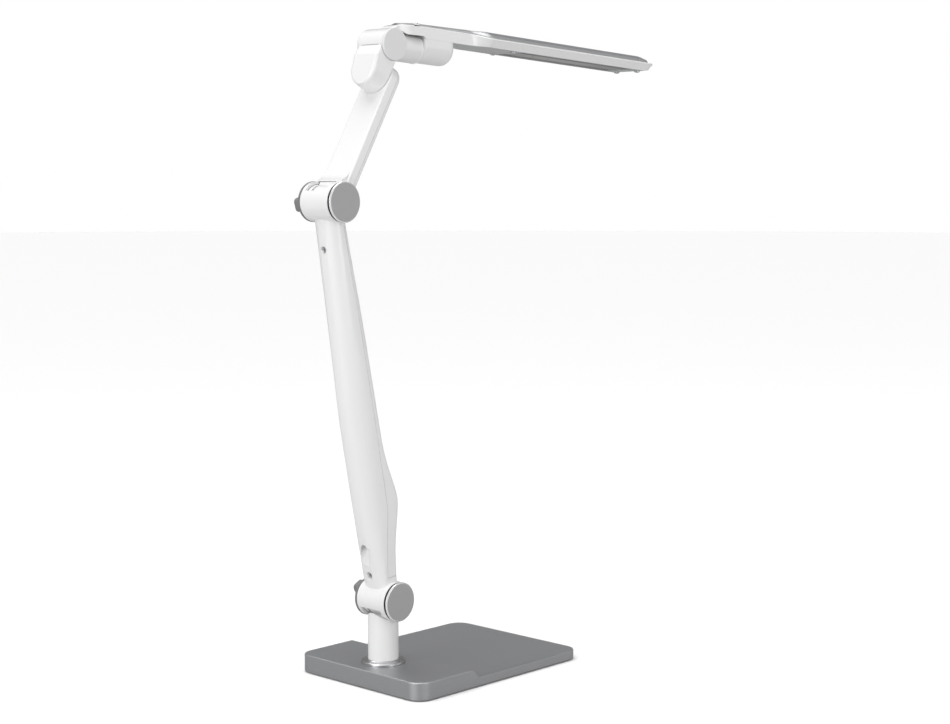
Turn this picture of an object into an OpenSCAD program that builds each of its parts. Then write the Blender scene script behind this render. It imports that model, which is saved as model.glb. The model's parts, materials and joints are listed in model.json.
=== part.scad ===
// Folding LED desk lamp: weighted base, swivel post, two arms on friction
// joints, a swivelling neck and a slim LED head.
// Millimetres, +Z up. The origin is on the post's swivel axis in the plane of
// the table. +X is the way the head points, -Y is the side with the round caps
// and +Y the side with the clamping knobs.

/* [Base] */
// Length of the base plate along X
base_l = 180; // [172:1:195]
// Width of the base plate along Y
base_w = 134; // [124:1:150]
// Radius of the base plate's corners
base_corner_r = 12; // [8:1:14]
// From the swivel axis to the base plate's rear edge
base_rear = 27.5; // [26:0.5:32]
// Height of the raised block that carries the post
base_h = 14; // [13.4:0.2:18]
// Height of the low tray in front of it
tray_h = 7.8; // [7.2:0.2:9]
// Where the raised block's top ends, from the swivel axis
block_end = 29; // [28:0.5:34]
// How far the riser slopes on its way down to the tray
riser_run = 5.7; // [3:0.1:8]
// Wall of the base cover
cover_t = 2.2; // [1.8:0.1:2.4]
// Thickness of the bottom plate
bottom_t = 1.5; // [1.2:0.1:1.8]
// Thickness of the anti-slip pad
pad_t = 0.8; // [0.6:0.1:1.2]
// How far the pad stays inside the base plate's edge
pad_inset = 3; // [2:0.5:5]

/* [Post] */
// Outer diameter of the post
post_d = 23.4; // [22.6:0.1:24]
// Wall of the post tube
post_wall = 2; // [1.6:0.1:2.2]
// Height of the lower tilt axis above the table
shoulder_z = 63.2; // [60:0.2:90]
// Outer diameter of the bright swivel collar
collar_d = 33.6; // [31:0.2:38]
// Height of the collar above the base
collar_h = 3.2; // [2.4:0.1:4]

/* [Friction joints] */
// Outer radius of a joint barrel
barrel_r = 14.6; // [14:0.1:15]
// From the arm's middle plane to the barrel's open end (cap side)
barrel_near = 12; // [11.8:0.1:13]
// From the arm's middle plane to the barrel's closed end (knob side)
barrel_far = 13.5; // [13.2:0.1:15]
// Wall that closes the barrel's knob end
barrel_end = 2.2; // [1.8:0.1:2.6]
// Radius of the hub that turns inside a barrel
hub_r = 12.3; // [11.8:0.1:12.6]
// Radial clearance between hub and barrel
hub_gap = 0.3; // [0.2:0.05:0.4]
// Thickness of a friction washer
washer_t = 0.9; // [0.7:0.05:1.1]
// Diameter of the clamping bolts
bolt_d = 6; // [5:0.2:6.4]
// Thickness of the flange that closes the open end
flange_t = 4; // [3.4:0.1:4.6]
// Radius of the flange and the round cap
cap_r = 15; // [14.6:0.1:15.6]
// Thickness of the round cap
cap_t = 1.5; // [1.3:0.1:2.2]
// Shadow gap between flange and cap
cap_shadow = 1.9; // [1:0.1:2.4]
// Radius of the knob's round flange
knob_r = 14.8; // [13.6:0.1:15.4]
// Thickness of the knob's round flange
knob_disc_t = 2.2; // [1.8:0.1:3]
// Length of the knob's grip bar
grip_l = 22.5; // [20:0.5:26]
// Width of the knob's grip bar
grip_w = 10.5; // [10.4:0.1:12.5]
// Corner radius of the grip bar
grip_corner = 3; // [1.5:0.1:4.5]
// How far the grip bar stands off the knob's flange
grip_h = 8; // [7:0.2:10]
// Turn of the lower knob's grip bar, as photographed
lower_knob_turn = 62; // [0:1:180]
// Turn of the elbow knob's grip bar, as photographed
elbow_knob_turn = -16; // [-90:1:90]

/* [Lower arm] */
// Distance between the lower tilt axis and the elbow axis
lower_len = 306; // [290:1:330]
// Rest lean of the lower arm away from the head
lower_lean = 10.1; // [0:0.1:20]
// Wall of the arm shells
shell_t = 2.2; // [1.8:0.1:2.4]
// Half width of the lower arm at its ends
lower_half_w = 12; // [11.6:0.1:12.4]
// How much wider each side is at the belly
lower_swell = 0.8; // [0:0.1:1.6]
// Thickness of the steel stiffener
stiffener_t = 2.5; // [2:0.1:3]
// Width of the steel stiffener
stiffener_w = 12; // [9:0.5:12.5]

/* [Upper arm] */
// Half width of the upper arm
upper_half_w = 14; // [13.6:0.1:14.4]
// Thickness of the upper arm
upper_t = 10; // [9.6:0.1:11]
// From the elbow axis forward to the arm's front face
upper_front = 1.5; // [1.2:0.1:2]
// Rest lean of the upper arm towards the head
upper_lean = 30; // [20:0.5:40]
// From the elbow axis to the neck's swivel axis
pivot_at = 103; // [98:1:125]

/* [Neck] */
// Half width of the neck
neck_half_w = 12.7; // [12.2:0.1:13]
// Clearance between the neck and the upper arm's face
neck_gap = 0.3; // [0.2:0.05:0.5]
// From the swivel axis along the arm to the head's tilt axis
tilt_along = 24.3; // [24:0.1:27]
// From the elbow axis forward to the head's tilt axis
tilt_off = 9.7; // [9.4:0.1:10.4]
// Diameter of the neck's swivel bolt
pivot_bolt_d = 5; // [4:0.2:6]

/* [Head] */
// Rest pitch of the head, nose down
head_pitch = 3; // [0:0.1:8]
// Outer radius of the head's hinge drum
drum_r = 12; // [11.8:0.1:12.2]
// Length of the hinge drum
drum_l = 29; // [28:0.5:31]
// Thickness of each end disc of the drum
disc_t = 2; // [1.6:0.1:2.6]
// Radius of the hub inside the drum
tilt_hub_r = 9.1; // [8.8:0.1:9.3]
// Diameter of the tilt bolt
tilt_bolt_d = 5; // [4:0.2:5.4]
// Radius of the stub that joins drum and head
stub_r = 10.5; // [10:0.1:10.8]
// From the tilt axis to the ring round the stub
ring_at = 32; // [31:0.5:36]
// From the tilt axis to the end of the half-round housing
housing_end = 66.5; // [65:0.5:69]
// From the tilt axis to the tip of the head
head_l = 299; // [270:1:330]
// Where the slim neck starts to widen into the panel
widen_at = 80; // [78:0.5:84]
// Length of the widening
widen_l = 19; // [16:0.5:24]
// Half width of the head's slim neck
slim_half_w = 12.5; // [12.3:0.1:13]
// Half width of the panel at its rim
panel_half_w = 22.5; // [21:0.5:30]
// Half width of the panel's flat underside
under_half_w = 17.4; // [16.6:0.2:20]
// Height of the panel's underside above the tilt axis
under_z = 7.6; // [7.4:0.1:8.2]
// Height of the panel's rim above its underside
rim_h = 6.4; // [6:0.1:7.4]
// Height of the top plate above the rim
crown_h = 5.4; // [5:0.1:6.5]
// Wall of the head's shell
head_t = 1.8; // [1.5:0.1:2]
// From the light window's far end to the tip of the head
window_end = 21; // [19:1:40]
// Width of the light window
window_w = 30; // [24:0.5:31]
// Where the light window starts
window_at = 140; // [124:1:160]
// Number of LEDs along the board
led_count = 26; // [12:2:32]
// Length of the push key along the head
key_l = 4.4; // [4:0.1:6]
// Diameter of the push key's stem
button_d = 4; // [3:0.1:4.2]
// Travel of the push button
button_travel = 0.8; // [0.5:0.1:1]

/* [Hidden] */

// Named clearances
fit = 0.05;          // running clearance of a shaft in its hole
seat = 0.1;          // clearance of a piece in its seat
air = 0.3;           // clearance between covers, and of what turns past them
seam = 0.25;         // visible joint line between two shells
edge = 0.9;          // small rounding on visible edges
over = 1;            // how far a cut runs past a face
far = 60;            // long enough to cut right through an arm

// Colours
silver = [0.55, 0.56, 0.58];
bright = [0.82, 0.83, 0.85];
white = [0.93, 0.93, 0.93];
grey = [0.62, 0.63, 0.65];
under_grey = [0.5, 0.51, 0.53];
steel = [0.7, 0.71, 0.74];
brass = [0.75, 0.62, 0.35];
black = [0.1, 0.1, 0.11];
pcb = [0.86, 0.88, 0.86];

$fn = 64;
round_fn = 96;
turn_n = 7;          // points in a quarter turn of an outline

// Derived sizes: base
base_front = base_l - base_rear;
block_in_h = base_h - cover_t;
tray_in_h = tray_h - cover_t;
plate_top = pad_t + bottom_t;
weight_z = plate_top + fit;
screw_inset = base_corner_r;
boss_r = 3.6;
self_tap_r = 1.45;
screw_head_r = 2.8;
head_cone_h = bottom_t * 0.8;
lead_r = 1.2;
lead_slot = 2 * lead_r + 0.6;
inlet_r = 3.9;
inlet_l = 14;
inlet_z = (plate_top + block_in_h) / 2;
inlet_back = base_w / 2 - cover_t - inlet_l + 2;
lead_rise = 7.5;
socket_r = 2.9;
socket_depth = 9.5;
contact_r = 1;

// Derived sizes: post
post_r = post_d / 2;
post_in_r = post_r - post_wall;
pocket_r = 17;
disc_z = weight_z + lead_slot + 0.15;
friction_disc_t = 0.8;
foot_z = disc_z + friction_disc_t + seat;
foot_t = 1.7;
tube_z = foot_z + foot_t;
foot_r = 15;
wave_t = 0.35;
collar_foot_z = block_in_h - 0.4;
nut_top = collar_foot_z - wave_t - seat;
collar_spigot_r = post_r + 0.8;
wire_r = 1.7;

// Derived sizes: joints
bolt_r = bolt_d / 2;
bore_r = hub_r + hub_gap;
around_barrel = barrel_r + 0.5;
hub_far = barrel_far - barrel_end - washer_t - 2 * seat;
hub_near = barrel_near - washer_t - 2 * seat;
groove_y = 6;
groove_w = 3;
groove_depth = 2.8;
groove_mid_r = hub_r - groove_depth / 2;
flange_y = -barrel_near - flange_t;
cap_y = flange_y - cap_shadow - cap_t;
skirt_out = cap_r - 3.4;
skirt_in = skirt_out - 1.6;
skirt_deep = 1.6;
head_across = 5;
head_h = 2.3;
head_y = flange_y + 0.2;
knob_y = barrel_far + air;
grip_y = knob_y + knob_disc_t;
knob_top = grip_y + grip_h;
insert_l = 5.6;
insert_y = knob_y + 0.8;
bolt_end = insert_y + insert_l - 0.3;
tongue_t = 15;
tongue_half_w = post_in_r - fit;

// Window angles, clockwise from straight up, of the barrels at rest
post_window = [90, 246];
elbow_window = [-56, 135];

// Joint centres
elbow_x = -lower_len * sin(lower_lean);
elbow_z = shoulder_z + lower_len * cos(lower_lean);

// Derived sizes: upper arm and neck. In the arm's own frame Z runs along the
// arm from the elbow axis and -X is its front.
upper_back = upper_t - upper_front;
upper_root = around_barrel;
upper_tongue_t = 11;
upper_tongue_half_w = 9.6;
cavity_from = upper_root + 4;
knuckle_to = 46;
rear_cover_t = 3.2;
rear_seam_x = upper_back - rear_cover_t;
lip_out = 5;
tilt_z = pivot_at + tilt_along;
pivot_r = pivot_bolt_d / 2;
neck_back = upper_front + neck_gap;
drum_bore = tilt_hub_r + hub_gap;
around_drum = drum_r + 0.35;
tilt_r = tilt_bolt_d / 2;
drum_half = drum_l / 2;
drum_in = drum_half - disc_t;
tilt_tongue_t = 8;
tilt_tongue_half_w = 8.8;
drum_window = [152, 269];
tilt_tongue_turn = -9;
tilt_boss_l = 2.2;

// Derived sizes: head. X runs from the tilt axis to the tip, Z up.
window_l = head_l - window_end - window_at;
rim_z = under_z + rim_h;
crown_z = rim_z + crown_h;
slim_top = crown_z - 1.2;
plate_t = 1.8;
hood_from = 4.5;
plate_from = 13;
widen_to = widen_at + widen_l;
ring_w = 1.3;
stub_neck_r = stub_r - 1.6;
button_at = 24.7;
button_r = button_d / 2;
key_proud = 0.1;
key_gap = 0.45;
slim_edge = slim_top - 1.6;
key_floor = slim_edge - 0.7;
key_guide_l = 2.6;
key_under = slim_edge - key_guide_l;
key_room = key_l / 2 + key_gap;
under_t = 1.6;
board_t = 1.2;
led_size = [2.8, 3.5, 0.7];
diffuser_t = 1.5;
driver_l = 20;
driver_t = 1.4;
cover_screw_r = 1.3;

// ---------------------------------------------------------------------------
// Helpers

// Points of a quarter of a circle
function quarter_turn(centre, r, from) =
  [for (i = [0 : turn_n]) let(a = from + 90 * i / turn_n) centre + r * [cos(a), sin(a)]];

// Points of a rounded rectangle from (x0, -w) to (x1, w); each end has its radius
function plate_outline(x0, x1, w, r0, r1) = concat(
  quarter_turn([x0 + r0, -w + r0], r0, 180),
  quarter_turn([x1 - r1, -w + r1], r1, 270),
  quarter_turn([x1 - r1, w - r1], r1, 0),
  quarter_turn([x0 + r0, w - r0], r0, 90));

// Closed skin over rings with the same number of points each
module loft(rings) {
  n = len(rings[0]);
  m = len(rings);
  sides = [for (k = [0 : m - 2], i = [0 : n - 1]) each
    [[k * n + i, (k + 1) * n + i, (k + 1) * n + (i + 1) % n],
     [k * n + i, (k + 1) * n + (i + 1) % n, k * n + (i + 1) % n]]];
  caps = [[for (i = [0 : n - 1]) i], [for (i = [n - 1 : -1 : 0]) (m - 1) * n + i]];
  polyhedron(points = [for (r = rings) each r], faces = concat(sides, caps));
}

// A value between table rows, rounded like a spline (rows are [key, value, ...])
function spline(a, b, c, d, t) =
  0.5 * ((2 * b) + (c - a) * t + (2 * a - 5 * b + 4 * c - d) * t * t + (3 * b - a - 3 * c + d) * t * t * t);
function row_at(rows, u) = let(
  n = len(rows), i = min(floor(u), n - 2), t = u - i)
  spline(rows[max(i - 1, 0)], rows[i], rows[i + 1], rows[min(i + 2, n - 1)], t);

// Tube swept along points (a lead held inside the lamp)
function unit(v) = v / norm(v);
function ring_dir(p, i) = i == 0 ? unit(p[1] - p[0])
  : i == len(p) - 1 ? unit(p[i] - p[i - 1])
  : unit(unit(p[i] - p[i - 1]) + unit(p[i + 1] - p[i]));
module lead(p, r) {
  sides = 8;
  side_on = [0, 1, 0];
  rings = [for (i = [0 : len(p) - 1]) let(
    d = ring_dir(p, i),
    u0 = cross(d, abs(d[1]) > 0.95 ? [1, 0, 0] : side_on), u = unit(u0), v = cross(d, u))
    [for (k = [0 : sides - 1]) p[i] + r * (cos(360 * k / sides) * u + sin(360 * k / sides) * v)]];
  loft(rings);
}

// Cylinder along Y between two values of y
module bar_y(r, y0, y1, sides = round_fn) {
  translate([0, y1, 0]) rotate([90, 0, 0]) cylinder(r = r, h = y1 - y0, $fn = sides);
}

// Cylinder along X between two values of x
module bar_x(r, x0, x1, sides = round_fn) {
  translate([x0, 0, 0]) rotate([0, 90, 0]) cylinder(r = r, h = x1 - x0, $fn = sides);
}

// Ring turned about Y from a profile of [radius, y] points
module turned_y(profile) {
  rotate([-90, 0, 0]) rotate_extrude($fn = round_fn) polygon(profile);
}

// Wedge about Y between two angles, clockwise from straight up
module sector_y(a0, a1, r, y0, y1) {
  steps = 8;
  turn = (a1 - a0) / steps;
  pts = concat([[0, 0]], [for (i = [0 : steps]) let(a = a0 + turn * i) [r * sin(a), r * cos(a)]]);
  translate([0, y1, 0]) rotate([90, 0, 0]) linear_extrude(y1 - y0) polygon(pts);
}

// Box between two corners
module block(a, b) {
  translate(a) cube(b - a);
}

module at_shoulder() { translate([0, 0, shoulder_z]) children(); }
module at_lower_arm() { at_shoulder() rotate([0, -lower_lean, 0]) children(); }
module at_elbow() { translate([elbow_x, 0, elbow_z]) children(); }
module at_upper_arm() { at_elbow() rotate([0, upper_lean, 0]) children(); }
module at_tilt() { at_upper_arm() translate([-tilt_off, 0, tilt_z]) rotate([0, -upper_lean, 0]) children(); }
module at_head() { at_tilt() rotate([0, head_pitch, 0]) children(); }

// ---------------------------------------------------------------------------
// Base

// Levels of a rounded top edge: [height below the top, inset]
edge_levels = [[edge, 0], [edge * 0.5, edge * 0.13], [edge * 0.15, edge * 0.47], [0, edge]];

function base_outline(inset) = plate_outline(-base_rear + inset, base_front - inset,
  base_w / 2 - inset, base_corner_r - inset, base_corner_r - inset);
function block_outline(inset, x1) = plate_outline(-base_rear + inset, x1,
  base_w / 2 - inset, base_corner_r - inset, 0.2);

// Where the riser stands at a height above the tray
function riser_x(z) = block_end + riser_run * (base_h - z) / (base_h - tray_h);

module base_mass() {
  loft(concat([[for (p = base_outline(0)) [p[0], p[1], pad_t]]],
    [for (l = edge_levels) [for (p = base_outline(l[1])) [p[0], p[1], tray_h - l[0]]]]));
  loft(concat([[for (p = block_outline(0, riser_x(tray_h - over))) [p[0], p[1], tray_h - over]]],
    [for (l = edge_levels) let(z = base_h - l[0])
      [for (p = block_outline(l[1], riser_x(z) - l[1] * 0.4)) [p[0], p[1], z]]]));
}

module base_screw_places() {
  for (x = [-base_rear + screw_inset, base_front - screw_inset], y = [-1, 1])
    translate([x, y * (base_w / 2 - screw_inset), 0]) children();
}

// The hollow under the cover, drawn in by a gap
module base_hollow(gap, z0, z1_block, z1_tray) {
  inset = cover_t + gap;
  r = base_corner_r - inset;
  translate([0, 0, z0]) linear_extrude(z1_tray - z0) polygon(plate_outline(
    -base_rear + inset, base_front - inset, base_w / 2 - inset, r, r));
  translate([0, 0, z0]) linear_extrude(z1_block - z0) polygon(plate_outline(
    -base_rear + inset, block_end - inset, base_w / 2 - inset, r, 0.2));
}

module base_cover() {
  color(silver) difference() {
    union() {
      difference() {
        base_mass();
        base_hollow(0, pad_t - over, block_in_h, tray_in_h);
      }
      intersection() {
        base_screw_places() translate([0, 0, plate_top + fit]) cylinder(r = boss_r, h = base_h);
        base_hollow(-fit, plate_top, block_in_h + fit, tray_in_h + fit);
      }
    }
    base_screw_places() translate([0, 0, pad_t]) cylinder(r = self_tap_r, h = tray_in_h - pad_t);
    translate([0, 0, block_in_h - over]) cylinder(r = collar_spigot_r + fit, h = base_h, $fn = round_fn);
    translate([0, 0, inlet_z]) bar_y(inlet_r + fit, base_w / 2 - cover_t - over, base_w / 2 + over);
  }
}

module base_weight() {
  color(steel) difference() {
    base_hollow(seat, weight_z, block_in_h - seat, tray_in_h - seat);
    base_screw_places() cylinder(r = boss_r + air, h = base_h);
    translate([0, 0, disc_z]) cylinder(r = pocket_r, h = base_h, $fn = round_fn);
    translate([0, 0, weight_z - over]) cylinder(r = wire_r + 1, h = base_h);
    block([-lead_slot / 2, 0, weight_z - over], [lead_slot / 2, inlet_back, disc_z - 0.15]);
    block([-inlet_r - 1, inlet_back - 1, weight_z - over], [inlet_r + 1, base_w / 2, base_h]);
    block([-lead_slot / 2, inlet_back - lead_rise - 1, weight_z - over], [lead_slot / 2, inlet_back, base_h]);
  }
}

module base_bottom_plate() {
  inset = cover_t + seat;
  r = base_corner_r - inset;
  color(black) difference() {
    translate([0, 0, pad_t]) linear_extrude(bottom_t) polygon(plate_outline(
      -base_rear + inset, base_front - inset, base_w / 2 - inset, r, r));
    base_screw_places() translate([0, 0, pad_t - over])
      cylinder(r = self_tap_r + seat, h = bottom_t + 2 * over);
    base_screw_places() translate([0, 0, pad_t - fit])
      cylinder(r1 = screw_head_r + 3 * seat, r2 = self_tap_r + seat, h = head_cone_h);
  }
}

module base_pad() {
  r = base_corner_r - pad_inset;
  color(black) linear_extrude(pad_t) polygon(plate_outline(-base_rear + pad_inset,
    base_front - pad_inset, base_w / 2 - pad_inset, r, r));
}

module base_screws() {
  color(steel) base_screw_places() translate([0, 0, pad_t + fit]) {
    cylinder(r1 = screw_head_r, r2 = self_tap_r - fit, h = head_cone_h - 2 * fit);
    cylinder(r = self_tap_r - fit, h = tray_in_h - pad_t - 0.4);
  }
}

module swivel_collar() {
  r0 = post_r + air;
  r1 = collar_d / 2;
  top = base_h + collar_h;
  color(bright) rotate_extrude($fn = round_fn) polygon([
    [r0, collar_foot_z], [collar_spigot_r, collar_foot_z], [collar_spigot_r, base_h + fit],
    [r1, base_h + fit],
    [r1, base_h + collar_h * 0.42], [r1 - 0.4, base_h + collar_h * 0.6],
    [r1 - 1.1, base_h + collar_h * 0.68],
    [r1 - 2.4, base_h + collar_h * 0.72], [r1 - 3.4, base_h + collar_h * 0.82],
    [r1 - 4, top - 0.2], [r1 - 4.3, top], [r0, top]]);
}

module swivel_friction_disc() {
  color(white) translate([0, 0, disc_z]) difference() {
    cylinder(r = foot_r, h = friction_disc_t, $fn = round_fn);
    translate([0, 0, -over]) cylinder(r = wire_r + 1, h = friction_disc_t + 2 * over);
  }
}

module dc_inlet() {
  y1 = base_w / 2 + air;
  color(black) translate([0, 0, inlet_z]) {
    difference() {
      bar_y(inlet_r, inlet_back, y1);
      bar_y(socket_r, y1 - socket_depth, y1 + over);
    }
    bar_y(contact_r, y1 - socket_depth - fit, y1 - 1);
  }
}

// The lead runs from the inlet down into a slot under the weight and up into the post
module base_lead() {
  low = weight_z + lead_r + 0.2;
  y1 = inlet_back;
  color(black) lead([
    [0, y1, inlet_z], [0, y1 - 1.2, inlet_z], [0, y1 - 2.4, inlet_z - 0.5],
    [0, y1 - 4, (inlet_z + low) / 2],
    [0, y1 - 5.6, low + 0.4], [0, y1 - lead_rise, low], [0, 3.4, low], [0, 1.6, low + 0.4],
    [0, 0.4, low + 1.4], [0, 0, foot_z - 0.5], [0, 0, foot_z + 0.2]], lead_r);
}

// ---------------------------------------------------------------------------
// Post

module post_tube() {
  bore_top = shoulder_z - around_barrel / 2;
  color(white) difference() {
    translate([0, 0, tube_z]) cylinder(r = post_r, h = shoulder_z - tube_z, $fn = round_fn);
    translate([0, 0, tube_z - over]) cylinder(r = post_in_r, h = bore_top - tube_z, $fn = round_fn);
    at_shoulder() bar_y(around_barrel, -post_d, post_d);
  }
}

// A hub with its bolt hole and the groove in which the lead winds
module hub() {
  difference() {
    bar_y(hub_r, -hub_near, hub_far);
    bar_y(bolt_r + fit, -hub_near - over, hub_far + over);
    lead_groove(hub_r + over);
  }
}

// The groove round a hub, cut from its floor out to a radius
module lead_groove(to_r) {
  turned_y([[hub_r - groove_depth, groove_y - groove_w / 2], [to_r, groove_y - groove_w / 2],
    [to_r, groove_y + groove_w / 2], [hub_r - groove_depth, groove_y + groove_w / 2]]);
}

module post_knuckle() {
  spigot_l = 18;
  spigot_top = shoulder_z - around_barrel - 1;
  color(white) difference() {
    union() {
      at_shoulder() hub();
      intersection() {
        translate([0, 0, spigot_top - spigot_l]) cylinder(r = tongue_half_w, h = far, $fn = round_fn);
        union() {
          block([-tongue_t / 2, -far, 0], [tongue_t / 2, far, shoulder_z - hub_r + 1.5]);
          block([-far, -far, 0], [far, far, spigot_top]);
        }
      }
    }
    at_shoulder() lead_groove(hub_r);
    translate([0, groove_y, 0]) cylinder(r = wire_r, h = shoulder_z - hub_r + groove_depth - 1);
    translate([0, 0, spigot_top - spigot_l - over]) cylinder(r = wire_r + groove_y - 2, h = over + 3);
  }
}

module post_foot() {
  color(steel) difference() {
    translate([0, 0, foot_z]) union() {
      cylinder(r = foot_r, h = foot_t - fit, $fn = round_fn);
      cylinder(r = post_in_r - fit, h = foot_t + 6, $fn = round_fn);
    }
    translate([0, 0, foot_z - over]) cylinder(r = wire_r + 1, h = foot_t + 6 + 2 * over);
  }
}

module swivel_nut() {
  color(steel) difference() {
    translate([0, 0, tube_z + fit]) cylinder(r = foot_r, h = nut_top - tube_z - fit, $fn = round_fn);
    translate([0, 0, tube_z - over]) cylinder(r = post_r + fit, h = far, $fn = round_fn);
  }
}

module swivel_washer() {
  color(steel) difference() {
    translate([0, 0, nut_top + fit]) cylinder(r = foot_r - 0.5, h = wave_t, $fn = round_fn);
    translate([0, 0, nut_top - over]) cylinder(r = post_r + fit, h = wave_t + 2 * over, $fn = round_fn);
  }
}

module post_lead() {
  top = shoulder_z - groove_mid_r;
  color(black) lead([
    [0, 0, foot_z + 0.8], [0, 0, foot_z + foot_t + 8], [0, 1, foot_z + foot_t + 11],
    [0, groove_y - 1, foot_z + foot_t + 15], [0, groove_y, foot_z + foot_t + 18],
    [0, groove_y, top]], lead_r);
}

// ---------------------------------------------------------------------------
// Friction joint hardware, drawn about the joint's own axis

module joint_bolt() {
  color(steel) {
    bar_y(bolt_r, head_y + head_h - fit, bolt_end);
    bar_y(head_across, head_y, head_y + head_h, 6);
  }
}

module joint_flange() {
  rim = 0.5;
  color(white) difference() {
    turned_y([[bolt_r + fit, -barrel_near - fit], [cap_r, -barrel_near - fit],
      [cap_r, flange_y + rim], [cap_r - rim, flange_y], [bolt_r + fit, flange_y]]);
    bar_y(head_across + seat, flange_y - over, head_y + head_h + fit, 6);
    turned_y([[skirt_in - seat, flange_y - over], [skirt_out + seat, flange_y - over],
      [skirt_out + seat, flange_y + skirt_deep], [skirt_in - seat, flange_y + skirt_deep]]);
  }
}

// Round cap with a bright chamfer, held by a skirt in the flange's groove
module joint_cap() {
  chamfer = 0.9;
  back = cap_y + cap_t;
  color(grey) turned_y([
    [0, cap_y], [cap_r - chamfer, cap_y], [cap_r, cap_y + chamfer], [cap_r, back - 0.2], [cap_r - 0.2, back],
    [skirt_out, back], [skirt_out, flange_y + skirt_deep - seat], [skirt_in, flange_y + skirt_deep - seat],
    [skirt_in, back - 0.4], [0, back - 0.4]]);
}

module joint_washers() {
  color(brass) for (y = [hub_far + seat, -hub_near - seat - washer_t])
    difference() {
      bar_y(hub_r - 1, y, y + washer_t);
      bar_y(bolt_r + fit, y - over, y + washer_t + over);
    }
}

module joint_knob(turn) {
  rim = 0.5;
  color(grey) difference() {
    union() {
      turned_y([[0, knob_y], [knob_r - rim, knob_y], [knob_r, knob_y + rim],
        [knob_r, grip_y - rim], [knob_r - rim, grip_y], [0, grip_y]]);
      rotate([0, turn, 0]) loft([for (l = concat([[grip_h + knob_disc_t / 2, 0]], edge_levels))
        [for (p = plate_outline(-grip_l / 2 + l[1], grip_l / 2 - l[1], grip_w / 2 - l[1],
            grip_corner - l[1], grip_corner - l[1])) [p[0], knob_top - l[0], -p[1]]]]);
    }
    bar_y(bolt_r + 0.4, knob_y - over, insert_y + insert_l + 1);
    bar_y(head_across + seat, knob_y - over, insert_y + insert_l, 6);
  }
}

module joint_knob_nut() {
  color(brass) difference() {
    bar_y(head_across, insert_y, insert_y + insert_l - seat, 6);
    bar_y(bolt_r + fit, insert_y - over, insert_y + insert_l + over);
  }
}

// ---------------------------------------------------------------------------
// Lower arm. Its frame has Z along the arm from the lower tilt axis and -X in front.

// Stations: [along, front, back, where the rounded front meets the flat side, swell].
// The first four are distances in millimetres from the joint's axis, swell runs from 0 to 1
lower_rows = [
  [8, -9.2, 6.8, -4, 0], [16, -9.8, 7.4, -3.5, 0], [30, -11, 9, -1.5, 0.2], [45, -12.2, 11.4, 0.8, 0.5],
  [60, -13.1, 15.4, 3.6, 0.8], [72, -13.7, 18.2, 5.4, 1], [80, -13.9, 18.4, 5.6, 1],
  [92, -14.2, 16.1, 5.6, 1], [106, -14.4, 13, 5.3, 1], [122, -14.6, 11, 5.2, 1],
  [145, -14.8, 10.4, 5.2, 0.9], [175, -13.9, 9.7, 4.8, 0.6], [205, -12.8, 8.9, 4.3, 0.4],
  [235, -11.7, 7.8, 3.4, 0.2], [265, -10.6, 6.2, 2.4, 0], [298, -9.4, 4.8, 1.4, 0]];
// The upper half of the stations moves with the elbow, so a longer arm is longer in its slim part
slim_from = 122;
slim_to = lower_rows[len(lower_rows) - 1][0];
function stretch(s) = s <= slim_from ? s
  : slim_from + (s - slim_from) * (lower_len - 8 - slim_from) / (slim_to - slim_from);
function lower_row(u) = let(r = row_at(lower_rows, u)) [stretch(r[0]), r[1], r[2], r[3], r[4]];
function lower_half(r) = lower_half_w + lower_swell * r[4];

// Section of the arm: full rounded front, flat sides, small corners at the back
front_n = 14;
corner_n = 4;
back_r = 3;
function arm_ring(r, inset) = let(
  f = r[1] + inset, b = r[2] - inset, m = r[3], w = lower_half(r) - inset, c = max(back_r - inset, 0.6))
  concat(
    [for (i = [0 : front_n]) let(a = 180 * i / front_n, sy = cos(a), sx = sin(a))
      [m - (m - f) * pow(sx, 0.87), w * sign(sy) * pow(abs(sy), 0.87), r[0]]],
    [for (i = [0 : corner_n]) let(a = 90 * i / corner_n) [b - c + c * sin(a), -w + c - c * cos(a), r[0]]],
    [for (i = [0 : corner_n]) let(a = 90 * i / corner_n) [b - c + c * cos(a), w - c + c * sin(a), r[0]]]);

ring_step = 0.5;
lower_last = len(lower_rows) - 1;
module lower_mass(inset) {
  loft([for (u = [0 : ring_step : lower_last]) arm_ring(lower_row(u), inset)]);
}

hollow_from = 17.2;
hollow_to = lower_len - 17.2;

module lower_hollow(inset) {
  intersection() {
    lower_mass(inset);
    block([-far, -far, hollow_from], [far, far, hollow_to]);
  }
}

// The rear shell's share: behind the line where the rounded front meets the sides
module rear_share(gap) {
  z0 = hollow_from + 1.4 + gap;
  z1 = hollow_to - 1.4 - gap;
  line = [for (u = [0 : ring_step : lower_last]) let(r = lower_row(u)) [r[3] + gap, r[0]]];
  inside = [for (p = line) if (p[1] > z0 && p[1] < z1) p];
  first_x = inside[0][0];
  last_x = inside[len(inside) - 1][0];
  translate([0, far, 0]) rotate([90, 0, 0]) linear_extrude(2 * far)
    polygon(concat([[first_x, z0]], inside, [[last_x, z1], [far, z1], [far, z0]]));
}

// Screws in the front: two square-on, and an oblique one in a long round recess
screw_lo = 18.7;
screw_mid = 38.5;
screw_hi = lower_len - 33.5;
arm_head_r = 2.5;
arm_screw_r = 1.4;
oblique = 63;
oblique_r = 4.4;
oblique_deep = 9;
function front_at(z) = lookup(z, [for (r = lower_rows) [stretch(r[0]), r[1]]]);
function back_at(z) = lookup(z, [for (r = lower_rows) [stretch(r[0]), r[2]]]);
seat_deep = 3;
square_screws = [screw_lo + 3.2, screw_hi];
screw_wall = 1.6;

module square_screw_place(z) { translate([front_at(z), 0, z]) rotate([0, 90, 0]) children(); }
module oblique_place() {
  translate([front_at(screw_mid), 0, screw_mid]) rotate([0, 90 - oblique, 0]) children();
}

module arm_barrel() {
  bar_y(barrel_r, -barrel_near, barrel_far);
}

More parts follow.
